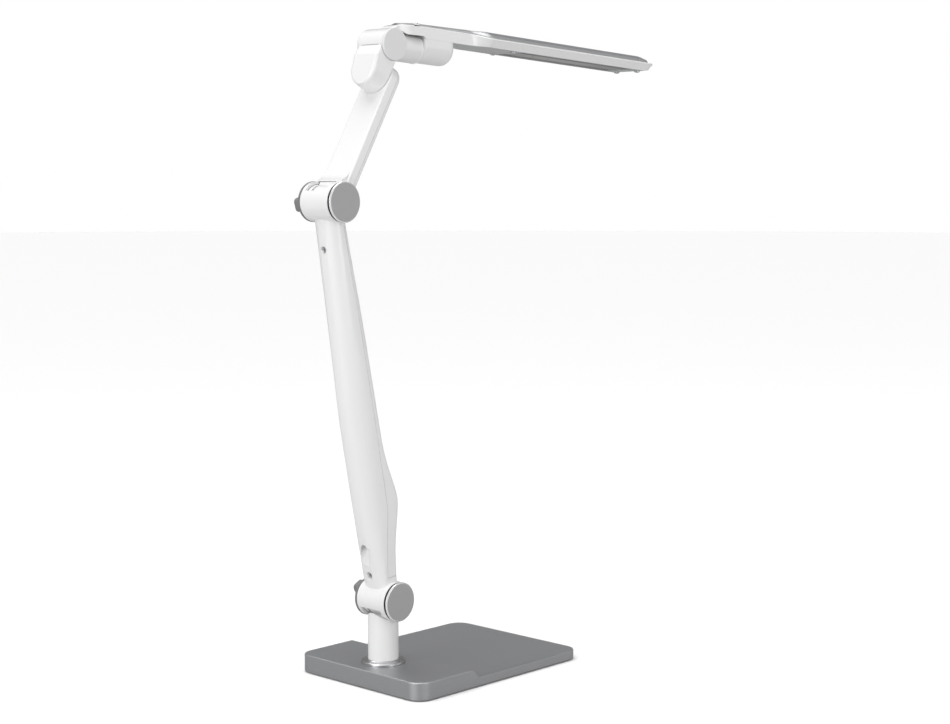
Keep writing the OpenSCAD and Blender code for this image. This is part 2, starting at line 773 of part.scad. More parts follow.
module barrel_cut(window) {
  bar_y(bore_r, -barrel_near - over, barrel_far - barrel_end);
  bar_y(bolt_r + fit, -over, barrel_far + over);
  sector_y(window[0], window[1], barrel_r + 4, -tongue_half_w - air - 0.6, tongue_half_w + air + 0.6);
}

module lower_wire_ways() {
  translate([0, groove_y, hub_r - 1]) cylinder(r = wire_r, h = hollow_from - hub_r + 2);
  translate([0, groove_y, hollow_to - over]) cylinder(r = wire_r, h = hollow_from - hub_r + 2);
}

rib_places = [78, 150, 236];
rib_t = 2;
stiffener_x = -3;
stiffener_y = -2.5;
stiffener_z = [62, screw_hi - 26.5];
stiffener_back = stiffener_x + stiffener_t;

// What stays standing in the room: a boss round each screw, and ribs between two values of x
module lower_inner(rib_x0, rib_x1) {
  for (z = square_screws) square_screw_place(z) cylinder(r = arm_head_r + screw_wall, h = far);
  oblique_place() translate([0, 0, -8]) cylinder(r = oblique_r + screw_wall, h = oblique_deep + 10.5);
  for (z = rib_places) block([rib_x0, -far, z - rib_t / 2], [rib_x1, far, z + rib_t / 2]);
}

module lower_solid(rib_x0, rib_x1) {
  difference() {
    union() {
      difference() {
        lower_mass(0);
        difference() {
          lower_hollow(shell_t);
          lower_inner(rib_x0, rib_x1);
        }
      }
      arm_barrel();
      translate([0, 0, lower_len]) arm_barrel();
    }
    for (z = square_screws) square_screw_place(z) {
      translate([0, 0, -4]) cylinder(r = arm_head_r + air, h = 4 + seat_deep);
      cylinder(r = arm_screw_r, h = back_at(z) - front_at(z) - shell_t - 1);
    }
    oblique_place() {
      translate([0, 0, -12]) cylinder(r = oblique_r, h = 12 + oblique_deep);
      cylinder(r = arm_screw_r, h = oblique_deep + 9);
    }
    lower_wire_ways();
    lower_lead_way();
  }
}

module lower_joint_cuts() {
  rotate([0, lower_lean, 0]) barrel_cut(post_window);
  translate([0, 0, lower_len]) rotate([0, lower_lean, 0]) barrel_cut(elbow_window);
}

module lower_arm_front_shell() {
  color(white) at_lower_arm() difference() {
    lower_solid(-far, stiffener_x - fit);
    rear_share(0);
    lower_joint_cuts();
  }
}

module lower_arm_rear_shell() {
  color(white) at_lower_arm() difference() {
    intersection() {
      lower_solid(stiffener_back + fit, far);
      rear_share(seam);
    }
    lower_joint_cuts();
    bar_y(barrel_r + seam, -far, far);
    translate([0, 0, lower_len]) bar_y(barrel_r + seam, -far, far);
  }
}

module lower_lead_way() {
  translate([1.2, groove_y, 20]) cylinder(r = lead_r + 0.6, h = lower_len - 40);
}

module lower_arm_stiffener() {
  hole_r = 2;
  hole_at = [stiffener_z[0] + 3 * hole_r, stiffener_z[1] - 3 * hole_r];
  color(steel) at_lower_arm() translate([0, stiffener_y, 0]) difference() {
    block([stiffener_x, -stiffener_w / 2, stiffener_z[0]], [stiffener_back, stiffener_w / 2, stiffener_z[1]]);
    for (z = hole_at) translate([0, 0, z]) bar_x(hole_r, -far, far);
  }
}

module screw(l) {
  cylinder(r = arm_head_r, h = 1.7);
  cylinder(r = arm_screw_r - fit, h = l);
}

module lower_arm_screws() {
  color(steel) at_lower_arm() {
    for (z = square_screws) square_screw_place(z) translate([0, 0, seat_deep - 1.7 - fit]) difference() {
      screw(back_at(z) - front_at(z) - shell_t - seat_deep);
      cross_slot();
    }
    oblique_place() translate([0, 0, oblique_deep - 1.7 - fit]) difference() {
      screw(9);
      cross_slot();
    }
  }
}

// Cross recess in a screw head
module cross_slot() {
  for (a = [0, 90]) rotate(a) block([-1.4, -0.3, -over], [1.4, 0.3, 0.9]);
}

module lower_arm_lead() {
  x = 1.2;
  top = lower_len - groove_mid_r;
  color(black) at_lower_arm() lead([
    [0, groove_y, groove_mid_r], [0, groove_y, hollow_from], [x, groove_y, hollow_from + 8],
    [x, groove_y, hollow_to - 8], [0, groove_y, hollow_to], [0, groove_y, top]], lead_r);
}

// ---------------------------------------------------------------------------
// Upper arm

// Outline of the arm seen from the front: straight root, round end about the pivot
round_end_n = 18;
function upper_outline(inset) = let(w = upper_half_w - inset) concat(
  [[-w, upper_root - 4 + inset], [w, upper_root - 4 + inset]],
  [for (i = [0 : round_end_n]) let(a = 180 * i / round_end_n) [w * cos(a), pivot_at + w * sin(a)]]);

function x_levels(x0, x1, e0, e1) = [[x0, e0], [x0 + e0 * 0.2, e0 * 0.4], [x0 + e0, 0],
  [x1 - e1, 0], [x1 - e1 * 0.3, e1 * 0.3], [x1, e1]];

module upper_mass(inset) {
  loft([for (l = x_levels(-upper_front + inset, upper_back - inset, 1.1, 1.6))
    [for (p = upper_outline(inset + l[1])) [l[0], p[0], p[1]]]]);
}

// The flared lip where the front face meets the barrel
module upper_lip() {
  z = upper_root;
  pts = [[-upper_front + 1, z + 11], [-upper_front, z + 10], [-upper_front - lip_out * 0.25, z + 5.2],
    [-upper_front - lip_out * 0.65, z + 1.8], [-upper_front - lip_out, z - 0.6],
    [-upper_front - lip_out + 0.4, z - 3], [-upper_front + 1, z - 3]];
  w = upper_half_w - 1;
  translate([0, w, 0]) rotate([90, 0, 0]) linear_extrude(2 * w) polygon(pts);
}

module upper_hollow() {
  intersection() {
    upper_mass(shell_t - 0.2);
    block([-far, -far, cavity_from], [far, far, far * 3]);
  }
}

upper_screw_places = [26, 38];
upper_screw_y = -5;
// The lead's way steps back here, so that it stays behind the front face
root_shift = 1.3;
module upper_screw_holes(r, from_x, to_x) {
  for (z = upper_screw_places) translate([0, upper_screw_y, z]) bar_x(r, from_x, to_x);
}

module upper_solid() {
  difference() {
    union() {
      difference() {
        upper_mass(0);
        upper_hollow();
      }
      intersection() {
        upper_mass(0.3);
        translate([0, 0, pivot_at]) bar_x(pivot_r + 3.4, -far, upper_back);
      }
      upper_lip();
    }
    bar_y(around_barrel, -far, far);
    translate([0, 0, pivot_at]) bar_x(pivot_r + fit, -far, far);
    translate([0, 0, pivot_at]) bar_x(pivot_r + 2.6, upper_back - 3.6, far);
    knuckle_bar(seat);
    translate([0, groove_y, upper_root - 6]) cylinder(r = wire_r, h = 10.4);
    translate([root_shift, groove_y, upper_root + 0.9]) cylinder(r = wire_r, h = 6.8);
    translate([0, groove_y, pivot_at - 3]) bar_x(wire_r, -far, 2);
    upper_screw_holes(arm_screw_r, 0.6, rear_seam_x + over);
  }
}

// The flat bar by which the knuckle reaches into the arm
module knuckle_bar(gap) {
  block([0.6 - gap, -upper_tongue_half_w - gap, 0],
    [rear_seam_x - 0.2 + gap, groove_y - wire_r - 0.6 + gap, knuckle_to + gap]);
}

module upper_arm_front_shell() {
  color(white) at_upper_arm() difference() {
    upper_solid();
    block([rear_seam_x, -far, 0], [far, far, far * 3]);
  }
}

module upper_arm_rear_shell() {
  color(white) at_upper_arm() difference() {
    intersection() {
      upper_solid();
      block([rear_seam_x + seam, -far, 0], [far, far, far * 3]);
    }
    upper_screw_holes(arm_screw_r + 0.3, -far, far);
    upper_screw_holes(arm_head_r + 0.3, upper_back - 1.9, far);
  }
}

module upper_arm_knuckle() {
  color(white) at_upper_arm() difference() {
    union() {
      hub();
      difference() {
        block([-upper_tongue_t / 2, -upper_tongue_half_w, hub_r - 3],
          [upper_tongue_t / 2, upper_tongue_half_w, upper_root]);
        difference() {
          bar_y(far, -far, far);
          bar_y(around_barrel - air, -far - over, far + over);
        }
      }
      knuckle_bar_solid();
    }
    lead_groove(hub_r);
    bar_y(bolt_r + fit, -far, far);
    translate([0, groove_y, hub_r - 2]) cylinder(r = wire_r, h = far);
    upper_screw_holes(arm_screw_r, 0, far);
  }
}

module knuckle_bar_solid() {
  intersection() {
    knuckle_bar(0);
    block([-far, -far, hub_r - 2], [far, far, far]);
  }
}

module upper_arm_screws() {
  color(steel) at_upper_arm() for (z = upper_screw_places)
    translate([upper_back - 0.2, upper_screw_y, z]) rotate([0, -90, 0]) difference() {
      screw(upper_back - 1.4);
      cross_slot();
    }
}

module upper_arm_lead() {
  x = 2.2;
  color(black) at_upper_arm() lead([
    [0, groove_y, groove_mid_r], [0, groove_y, upper_root + 1], [x, groove_y, upper_root + 9],
    [x, groove_y, pivot_at - 12], [x, groove_y, pivot_at - 7], [1.9, groove_y, pivot_at - 5],
    [1.1, groove_y, pivot_at - 3.6], [0, groove_y, pivot_at - 3],
    [-upper_front, groove_y, pivot_at - 3]], lead_r);
}

// ---------------------------------------------------------------------------
// Neck, in the upper arm's frame

// Front face: [along from the pivot, distance in front of the elbow axis]
neck_front = [[-neck_half_w, 15.4], [-2, 18.4], [9.5, 21], [18.5, 20], [30, 19]];
neck_corner = 2.6;
function neck_stations() = concat(
  [for (a = [8, 20, 35, 50, 65, 80]) [-neck_half_w * cos(a), neck_half_w * sin(a)]],
  [for (z = [0, 5, 9.5, 14, 18.5, 24]) [z, neck_half_w]]);
function neck_ring(s) = let(
  x0 = -lookup(s[0], neck_front), x1 = -neck_back, w = s[1], r = min(neck_corner, w * 0.6), q = 0.3)
  [for (p = plate_outline(x0, x1, w, r, min(q, w * 0.5))) [p[0], p[1], pivot_at + s[0]]];

// How far the head tips down from rest: the neck's corner is cut back for the stub there
nose_down = 20;
module neck_body() {
  color(white) at_upper_arm() difference() {
    union() {
      difference() {
        loft([for (s = neck_stations()) neck_ring(s)]);
        translate([-tilt_off, 0, tilt_z]) bar_y(around_drum, -far, far);
      }
      translate([-tilt_off, 0, tilt_z]) {
        bar_y(tilt_hub_r, -drum_in + tilt_boss_l + seat, drum_in - seat);
        rotate([0, tilt_tongue_turn, 0]) block([-tilt_tongue_t / 2, -tilt_tongue_half_w, -around_drum - 2],
          [tilt_tongue_t / 2, tilt_tongue_half_w, -tilt_hub_r + 1.5]);
      }
    }
    translate([-tilt_off, 0, tilt_z]) bar_y(tilt_r + fit, -far, far);
    translate([-tilt_off, 0, tilt_z]) rotate([0, head_pitch + nose_down - upper_lean, 0])
      bar_x(stub_r + air, 0, ring_at);
    translate([0, 0, pivot_at]) {
      bar_x(pivot_r + fit, -neck_nut_x - over, 0);
      bar_x(neck_nut_r + seat, -neck_nut_x, -neck_back - 5, 6);
    }
    translate([0, groove_y, pivot_at - 3]) bar_x(wire_r, -neck_back - 7, 0);
    translate([-neck_back - 5.4, groove_y, pivot_at - 3]) cylinder(r = wire_r, h = tilt_z - pivot_at - 3);
  }
}

neck_nut_r = 4.6;
neck_nut_t = 3.4;
neck_nut_x = neck_back + 5 + neck_nut_t + seat;

module neck_pivot_bolt() {
  color(steel) at_upper_arm() translate([0, 0, pivot_at]) {
    bar_x(pivot_r, -neck_back - 5 - neck_nut_t, upper_back - 3.6);
    bar_x(pivot_r + 2.2, upper_back - 3.6 + wave_t + seat, upper_back - 1);
    bar_x(pivot_r, upper_back - 4, upper_back - 1.2);
  }
}

module neck_pivot_nut() {
  color(brass) at_upper_arm() translate([0, 0, pivot_at]) difference() {
    bar_x(neck_nut_r, -neck_back - 5 - neck_nut_t, -neck_back - 5 - fit, 6);
    bar_x(pivot_r + fit, -far, far);
  }
}

module neck_pivot_washer() {
  color(steel) at_upper_arm() translate([0, 0, pivot_at]) difference() {
    bar_x(pivot_r + 2.3, upper_back - 3.6 + fit, upper_back - 3.6 + fit + wave_t);
    bar_x(pivot_r + fit, -far, far);
  }
}

// ---------------------------------------------------------------------------
// Head

module head_hinge_drum() {
  color(white) at_head() difference() {
    union() {
      bar_y(drum_r, -drum_in, drum_in);
      bar_x(stub_r, 0, ring_at - fit);
      bar_x(stub_neck_r, ring_at - over, ring_at + ring_w + 4);
    }
    bar_y(drum_bore, -far, far);
    rotate([0, -head_pitch, 0]) sector_y(drum_window[0], drum_window[1], drum_r + 3,
      -tilt_tongue_half_w - air, tilt_tongue_half_w + air);
    bar_x(stub_r - 4, 0, ring_at + ring_w + 6);
  }
}

// End disc of the drum with the spigot that centres it, drawn on the near side
module drum_disc(spigot_l) {
  rim = 0.4;
  turned_y([[0, -drum_half], [drum_r - rim, -drum_half], [drum_r, -drum_half + rim],
    [drum_r, -drum_in - fit], [drum_bore - seat, -drum_in - fit], [drum_bore - seat, -drum_in + spigot_l],
    [0, -drum_in + spigot_l]]);
}

tilt_nut_r = tilt_r + 1.8;
tilt_skin = 0.9;
tilt_head_r = tilt_r + 1.9;
tilt_head_h = 1.1;

module head_cap_near() {
  color(white) at_head() difference() {
    drum_disc(tilt_boss_l);
    bar_y(tilt_r + fit, -drum_half + tilt_skin, 0);
    bar_y(tilt_nut_r + seat, -drum_half + tilt_skin, 0, 6);
  }
}

module head_cap_far() {
  color(white) at_head() difference() {
    mirror([0, 1, 0]) drum_disc(0);
    bar_y(tilt_r + fit, 0, drum_half + over);
    bar_y(tilt_head_r + seat, drum_half - tilt_head_h - 0.1, drum_half + over);
  }
}

module tilt_bolt() {
  seat_y = drum_half - tilt_head_h - 0.1 + fit;
  color(steel) at_head() difference() {
    union() {
      bar_y(tilt_r, -drum_half + tilt_skin + 0.2, seat_y + 0.2);
      bar_y(tilt_head_r, seat_y, drum_half - 0.1);
    }
    bar_y(1.4, drum_half - tilt_head_h + 0.3, drum_half + over, 6);
  }
}

module tilt_nut() {
  color(brass) at_head() difference() {
    bar_y(tilt_nut_r, -drum_half + tilt_skin + fit, -drum_in + tilt_boss_l - fit, 6);
    bar_y(tilt_r + fit, -far, far);
  }
}

module head_ring() {
  in_r = stub_neck_r + fit;
  out_r = stub_r + 0.25;
  bevel = 0.35;
  color(bright) at_head() translate([ring_at, 0, 0]) rotate([0, 90, 0]) rotate_extrude($fn = round_fn)
    polygon([[in_r, 0], [out_r - bevel, 0], [out_r, bevel], [out_r, ring_w - bevel],
      [out_r - bevel, ring_w], [in_r, ring_w]]);
}

// Outline of the head in plan, drawn in by an inset: hood, slim neck, panel and tip
function head_half(x, rim_w) = x <= widen_at ? slim_half_w
  : x >= widen_to ? rim_w
  : let(t = (x - widen_at) / widen_l) slim_half_w + (rim_w - slim_half_w) * t * t * (3 - 2 * t);

// Height of the shell's upper edge: level along the neck, then down to the panel's rim
function edge_z(x) = x <= widen_at ? slim_edge
  : x >= widen_to ? rim_z
  : let(t = (x - widen_at) / widen_l) slim_edge + (rim_z - slim_edge) * t * t * (3 - 2 * t);

// Height of the top plate's crown
function crown_at(x) = x <= plate_from + 12 ? slim_top - 0.6 + 0.6 * (x - plate_from) / 12
  : x <= widen_at ? slim_top + (crown_z - slim_top) * (x - plate_from - 12) / (widen_at - plate_from - 12)
  : crown_z;

panel_middle = (widen_to + head_l) / 2;

// Stations of the outer shell along X: [x, half width at the rim, half width below, edge height, underside]
hood_half_w = 7.4;
function hood_half(x) = x >= button_at ? slim_half_w
  : hood_half_w + (slim_half_w - hood_half_w) * max(0, x - 11) / (button_at - 11);
function side_low(x) = x < 11 ? 11.9 : x < 17.5 ? 11.9 - 2.6 * (x - 11) / 6.5 : under_z + 1.7;
shell_rows = concat(
  [for (x = [hood_from, 6, 8, 10, 11.5]) let(w = hood_half_w - 1 + (x - hood_from) / 7) [x, w, w - 0.2,
    13 + (slim_edge - 0.2 - 13) * sqrt((x - hood_from) / 8.5), 11.9]],
  [for (x = [13, 15, 17.5, 20, 22.5, button_at, ring_at])
    [x, hood_half(x), hood_half(x), edge_z(x) - 0.1, side_low(x)]],
  [for (x = [ring_at + ring_w, 46, 60, 70, widen_at]) [x, slim_half_w, slim_half_w, edge_z(x), under_z]],
  [for (i = [1 : 7]) let(x = widen_at + widen_l * i / 8)
    [x, head_half(x, panel_half_w), head_half(x, under_half_w), edge_z(x), under_z]],
  [for (x = [widen_to, panel_middle, head_l - 24, head_l - 12])
    [x, panel_half_w, under_half_w, rim_z, under_z]]);

// Across the head: underside, sloped side, thin rim
rim_side = 0.9;
rim_edge = 0.7;
function shell_ring(r) = let(x = r[0], w = r[1], v = r[2], top = r[3], low = r[4])
  [[x, v, low], [x, w, top - rim_side], [x, w - rim_edge, top], [x, -w + rim_edge, top],
   [x, -w, top - rim_side], [x, -v, low]];
// Towards the tip the side leans in and the underside rises:
// [back from the tip, lean of the rim, lean of the underside's edge, rise of the underside]
tip_rows = [[8, 0, 0.4, 0], [4, 0.6, 2.4, 0.7], [1.6, 2.2, 5, 3.2], [0.2, 4.5, 7.4, 5.4]];
function tip_ring(t) = shell_ring([head_l - t[0], panel_half_w - t[1],
  min(panel_half_w - t[2], under_half_w), rim_z, under_z + t[3]]);

module head_mass() {
  loft(concat([for (r = shell_rows) shell_ring(r)], [for (t = tip_rows) tip_ring(t)]));
}

// The room under the deck, open below for the lower cover
tip_solid = 8;
deck_t = 1.4;
function room_ring(x, r) = let(w = r[1] - head_t, v = r[2] - head_t, top = r[3] - deck_t)
  [[x, v, r[4] - over], [x, w, top], [x, -w, top], [x, -v, r[4] - over]];
module head_hollow() {
  rows = [for (r = shell_rows) if (r[0] > 14) r];
  loft(concat([for (r = rows) room_ring(r[0], r)], [room_ring(head_l - tip_solid, rows[len(rows) - 1])]));
}

housing_wall = 1.6;
housing_low = 9.8;
housing_round = 6;
housing_mid = slim_half_w - housing_low;
// Section of the half-round housing: round below, straight sides up to the shell
function housing_ring(x, w, top) = concat(
  [for (i = [0 : 2 * turn_n]) let(a = 180 + 90 * i / turn_n) [x, w * cos(a), housing_mid + w * sin(a)]],
  [[x, w, top], [x, -w, top]]);
module housing_mass(inset, x0, top) {
  x1 = housing_end - inset;
  r = max(housing_round - inset, 0.5);
  front = [[x0, 1.3], [x0 + 0.4, 0.6], [x0 + 1.3, 0]];
  ends = concat(front, [for (a = [0, 20, 40, 60, 75, 90]) [x1 - r + r * sin(a), r * (1 - cos(a))]]);
  loft([for (e = ends) housing_ring(e[0], slim_half_w - inset - e[1], top)]);
}

web_t = 2.9;
module head_shell() {
  color(white) at_head() difference() {
    union() {
      difference() {
        head_mass();
        head_hollow();
      }
      // web that ties the shell to the stub
      block([ring_at + ring_w + air, -slim_half_w + 1, under_z],
        [ring_at + ring_w + air + web_t, slim_half_w - 1, slim_edge - 0.5]);
      for (p = head_screw_places) translate([p[0], p[1], under_z + under_t + fit])
        cylinder(r = 2.6, h = rim_z - deck_t / 2 - under_z - under_t - fit);
      translate([button_at, 0, key_under]) cylinder(r = button_r + 2, h = key_guide_l - 1);
    }
    bar_y(drum_r + air, -far, far);
    bar_x(stub_r + air, 0, ring_at + ring_w + fit);
    bar_x(stub_neck_r + fit, 0, ring_at + ring_w + 4 + fit);
    for (p = head_screw_places) translate([p[0], p[1], 0]) cylinder(r = cover_screw_r, h = rim_z - 1.6);
    translate([button_at, 0, 0]) cylinder(r = button_r + seat, h = far);
    block([button_at - key_room, -far, key_floor], [button_at + key_room, far, far]);
  }
}

// Underside screws: two at the window's near end and two at the far end
dome_r = 2.4;
dome_h = 1.5;
head_screw_past = [8, 10];
head_screw_places = [
  for (x = [window_at - head_screw_past[0], window_at + window_l + head_screw_past[1]], side = [-1, 1])
    [x, side * (under_half_w - 6.4)]];

// Top plate: flush along the neck, crowned with a steep bevel on the panel
bevel_run = 6;
plate_in = 0.9;
plate_in_panel = 1.1;
// A shadow line under the plate's edge
plate_foot = 0.4;
function plate_half(x) = head_half(x, panel_half_w)
  - (x <= widen_at ? plate_in : x >= widen_to ? plate_in_panel
    : plate_in + (plate_in_panel - plate_in) * (x - widen_at) / widen_l);
function plate_ring(x, shrink) = let(
  w = max(plate_half(x) - shrink, 0.6), base = edge_z(x) + fit, top = crown_at(x),
  share = x <= widen_at ? 0 : x >= widen_to ? 1 : (x - widen_at) / widen_l,
  run = min(1 + (bevel_run - 1) * share, w * 0.6), step = (top - base) * 0.45,
  foot = min(plate_foot, step / 2))
  [[x, w - foot, base], [x, w, base + foot], [x, w - run * 0.22, base + step],
   [x, w - run, top - 0.35], [x, w - run - 2, top],
   [x, -w + run + 2, top], [x, -w + run, top - 0.35], [x, -w + run * 0.22, base + step],
   [x, -w, base + foot], [x, -w + foot, base]];

// The plate's rear end is rounded in plan, inside the hood
function plate_rear_half(x) = x >= button_at ? slim_half_w - plate_in
  : min(hood_half(x) - plate_in, sqrt(max(0.01, 1 - pow((26 - x) / 13.2, 2))) * (slim_half_w - 0.9));
module head_top_mass() {
  loft(concat(
    [for (x = [plate_from, 14, 16, 19, 22, button_at, ring_at, 46, 60, 72, widen_at])
      plate_ring(x, slim_half_w - plate_in - plate_rear_half(x))],
    [for (i = [1 : 7]) plate_ring(widen_at + widen_l * i / 8, 0)],
    [for (x = [widen_to, panel_middle, head_l - 16]) plate_ring(x, 0)],
    [for (t = [[head_l - 12, 0.4, 0.8], [head_l - 8, 1.6, 2.4], [head_l - 4, 4, 4.4]])
      [for (p = plate_ring(t[0], t[1])) [p[0], p[1], min(p[2], crown_z - t[2])]]]));
}

module head_top_plate() {
  color(silver) at_head() difference() {
    head_top_mass();
    block([widen_to + 4, -panel_half_w + bevel_run + 2, rim_z - over],
      [head_l - 20, panel_half_w - bevel_run - 2, crown_z - plate_t]);
    block([-far, -far, 0], [button_at + key_room, far, far]);
  }
}

module head_rear_plate() {
  color(silver) at_head() difference() {
    head_top_mass();
    block([button_at - key_room, -far, 0], [head_l + far, far, far]);
  }
}

module head_housing_cover() {
  x0 = ring_at + ring_w + fit;
  color(white) at_head() difference() {
    housing_mass(0, x0, under_z - fit);
    housing_mass(housing_wall, x0 + 5.4, under_z + over);
    bar_x(stub_neck_r + fit, x0 - over, ring_at + ring_w + 4 + fit);
    bar_x(stub_r - 4, x0, x0 + 8);
  }
}

// Lower cover: closes the slim neck behind the housing and the panel around the window
under_rim = head_t + seat;
under_sections = concat([housing_end + 0.2, 72, widen_at], [for (i = [1 : 7]) widen_at + widen_l * i / 8],
  [widen_to, head_l - tip_solid - seat]);
module head_under_cover() {
  right = [for (x = under_sections) [x, head_half(x, under_half_w) - under_rim]];
  left = [for (i = [len(right) - 1 : -1 : 0]) [right[i][0], -right[i][1]]];
  color(under_grey) at_head() difference() {
    translate([0, 0, under_z]) linear_extrude(under_t) polygon(concat(right, left));
    block([window_at, -window_w / 2, 0], [window_at + window_l, window_w / 2, far]);
    for (p = head_screw_places) translate([p[0], p[1], 0]) cylinder(r = cover_screw_r + 0.2, h = far);
  }
}

module diffuser() {
  m = 0.15;
  color([0.95, 0.95, 0.92]) at_head() block([window_at + m, -window_w / 2 + m, under_z + 0.5],
    [window_at + window_l - m, window_w / 2 - m, under_z + 0.5 + diffuser_t]);
}

board_z = rim_z - deck_t - board_t - fit;
module led_board() {
  color(pcb) at_head() block([window_at - 2, -under_half_w + head_t + 1, board_z],
    [window_at + window_l + 2, under_half_w - head_t - 1, board_z + board_t]);
}

module led_chips() {
  pitch = window_l / led_count;
  color([0.98, 0.92, 0.6]) at_head() for (i = [0 : led_count - 1])
    translate([window_at + pitch * (i + 0.5), 0, board_z - fit - led_size[2]])
      translate([-led_size[0] / 2, -led_size[1] / 2, 0]) cube(led_size);
}

driver_z = 1.5;
module driver_board() {
  x0 = ring_at + ring_w + 10;
  color([0.1, 0.45, 0.25]) at_head() {
    block([x0, -8, driver_z], [x0 + driver_l, 8, driver_z + driver_t]);
    block([x0 + 3, -5, driver_z - 4.5], [x0 + 10, 3, driver_z + fit]);
    block([x0 + 13, -3, driver_z - 3], [x0 + 17, 4, driver_z + fit]);
  }
}

// Low switch on the stub, under the key's stem
module tact_switch() {
  top = key_under - 0.1 - button_travel - 0.1;
  base = stub_r + 0.35;
  color(black) at_head() translate([button_at, 0, 0]) {
    block([-3, -3, base], [3, 3, top - 0.5]);
    translate([0, 0, base + 0.2]) cylinder(r = 1.5, h = top - base - 0.2);
  }
}

// White key across the head with a dark slit for the pilot light
module power_button() {
  w = plate_half(button_at);
  top = crown_at(button_at) + key_proud;
  slit_w = 0.8;
  color(white) at_head() translate([button_at, 0, 0]) {
    difference() {
      block([-key_l / 2, -w, key_floor + button_travel + 0.1], [key_l / 2, w, top]);
      block([-slit_w / 2, -far, top - 0.6], [slit_w / 2, far, top + over]);
    }
    translate([0, 0, key_under - 0.1])
      cylinder(r = button_r, h = key_floor - key_under + button_travel + 0.4);
  }
}

module head_screws() {
  color(steel) at_head() for (p = head_screw_places)
    translate([p[0], p[1], under_z - dome_h]) difference() {
      union() {
        cylinder(r1 = dome_r - 0.9, r2 = dome_r, h = 0.7);
        translate([0, 0, 0.7]) cylinder(r = dome_r, h = dome_h - 0.7 - fit);
        cylinder(r = cover_screw_r - fit, h = dome_h + rim_h - 1.8);
      }
      cross_slot();
    }
}

module head_lead() {
  x0 = ring_at + ring_w + 9;
  z = driver_z + driver_t + lead_r + 0.1;
  up = under_z + under_t + lead_r + 0.3;
  color(black) at_head() lead([
    [drum_bore + 0.6, 0, 0], [ring_at, 0, 0], [ring_at + 4, 0, 0.6], [ring_at + 7, 0, 2.4], [x0, 0, z],
    [x0 + 4, 0, z + 0.4], [x0 + 8, 0, z + 2.6], [x0 + 12, 0, up - 1], [x0 + 16, 0, up],
    [window_at - 6, 0, up], [window_at - 3.4, 0, up], [window_at - 2.2, 0, up]], lead_r);
}

// Joint hardware in place
module lower_bolt() { at_shoulder() joint_bolt(); }
module lower_flange() { at_shoulder() joint_flange(); }
module lower_cap() { at_shoulder() joint_cap(); }
module lower_washers() { at_shoulder() joint_washers(); }
module lower_knob() { at_shoulder() joint_knob(lower_knob_turn); }
module lower_knob_nut() { at_shoulder() joint_knob_nut(); }
module elbow_bolt() { at_elbow() joint_bolt(); }
module elbow_flange() { at_elbow() joint_flange(); }
module elbow_cap() { at_elbow() joint_cap(); }
module elbow_washers() { at_elbow() joint_washers(); }
module elbow_knob() { at_elbow() joint_knob(elbow_knob_turn); }
module elbow_knob_nut() { at_elbow() joint_knob_nut(); }

// ---------------------------------------------------------------------------
base_cover();
base_weight();
base_bottom_plate();
base_pad();
base_screws();
swivel_collar();
swivel_friction_disc();
dc_inlet();
base_lead();
post_tube();
post_knuckle();
post_foot();
swivel_nut();
swivel_washer();
post_lead();
lower_arm_front_shell();
lower_arm_rear_shell();
lower_arm_stiffener();
lower_arm_screws();
lower_arm_lead();
lower_bolt();
lower_flange();
lower_cap();
lower_washers();
elbow_bolt();
elbow_flange();
elbow_cap();
elbow_washers();
lower_knob();
lower_knob_nut();
elbow_knob();
elbow_knob_nut();
upper_arm_front_shell();
upper_arm_rear_shell();
upper_arm_knuckle();
upper_arm_screws();
upper_arm_lead();
neck_body();
neck_pivot_bolt();
neck_pivot_nut();
neck_pivot_washer();
head_hinge_drum();
head_cap_near();
head_cap_far();
tilt_bolt();
tilt_nut();
head_ring();
head_shell();
head_top_plate();
head_rear_plate();
head_housing_cover();
head_under_cover();
led_board();
led_chips();
diffuser();
driver_board();
tact_switch();
head_screws();
head_lead();
power_button();
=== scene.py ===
# %% [markdown]
# # A folding LED desk lamp
# The lamp's construction is done already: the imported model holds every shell, bolt and joint at its
# real size. This script gives it its looks. It keeps that model as a fixed frame, softens the moulded
# edges, adds the small repeated parts, and paints every surface with procedural materials.

# %% Load the frame
import json
import math

import bmesh
import bpy
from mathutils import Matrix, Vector


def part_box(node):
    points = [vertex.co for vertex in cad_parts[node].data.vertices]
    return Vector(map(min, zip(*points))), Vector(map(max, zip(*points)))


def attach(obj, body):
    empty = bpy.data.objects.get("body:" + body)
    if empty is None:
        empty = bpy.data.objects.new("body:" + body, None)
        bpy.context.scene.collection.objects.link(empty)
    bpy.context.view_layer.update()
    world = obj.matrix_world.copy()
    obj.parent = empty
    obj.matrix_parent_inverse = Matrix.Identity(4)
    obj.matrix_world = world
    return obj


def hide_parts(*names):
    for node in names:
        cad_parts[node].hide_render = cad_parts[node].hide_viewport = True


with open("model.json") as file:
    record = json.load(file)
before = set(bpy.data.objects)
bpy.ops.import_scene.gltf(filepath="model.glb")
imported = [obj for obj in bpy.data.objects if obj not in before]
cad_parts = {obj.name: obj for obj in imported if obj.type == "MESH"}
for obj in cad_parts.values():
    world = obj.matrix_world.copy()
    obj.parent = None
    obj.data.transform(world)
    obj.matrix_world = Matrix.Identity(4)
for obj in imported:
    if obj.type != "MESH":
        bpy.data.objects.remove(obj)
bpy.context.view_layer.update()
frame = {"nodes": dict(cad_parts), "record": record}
MM = 0.001
body_of = {node: body for body, nodes in frame["record"]["behaviour"]["bodies"].items() for node in nodes}
slot_of = {part["node"]: part["material_slot"] for part in frame["record"]["subparts"]}

# %% [markdown]
# ## Camera
# The photograph was taken from the front left, a little above the base, with a long lens. A camera
# fitted to the base's edges and to the two round caps gives this place and turn. A long lens keeps
# the lamp's upright lines nearly parallel, which is why product photographs use one.

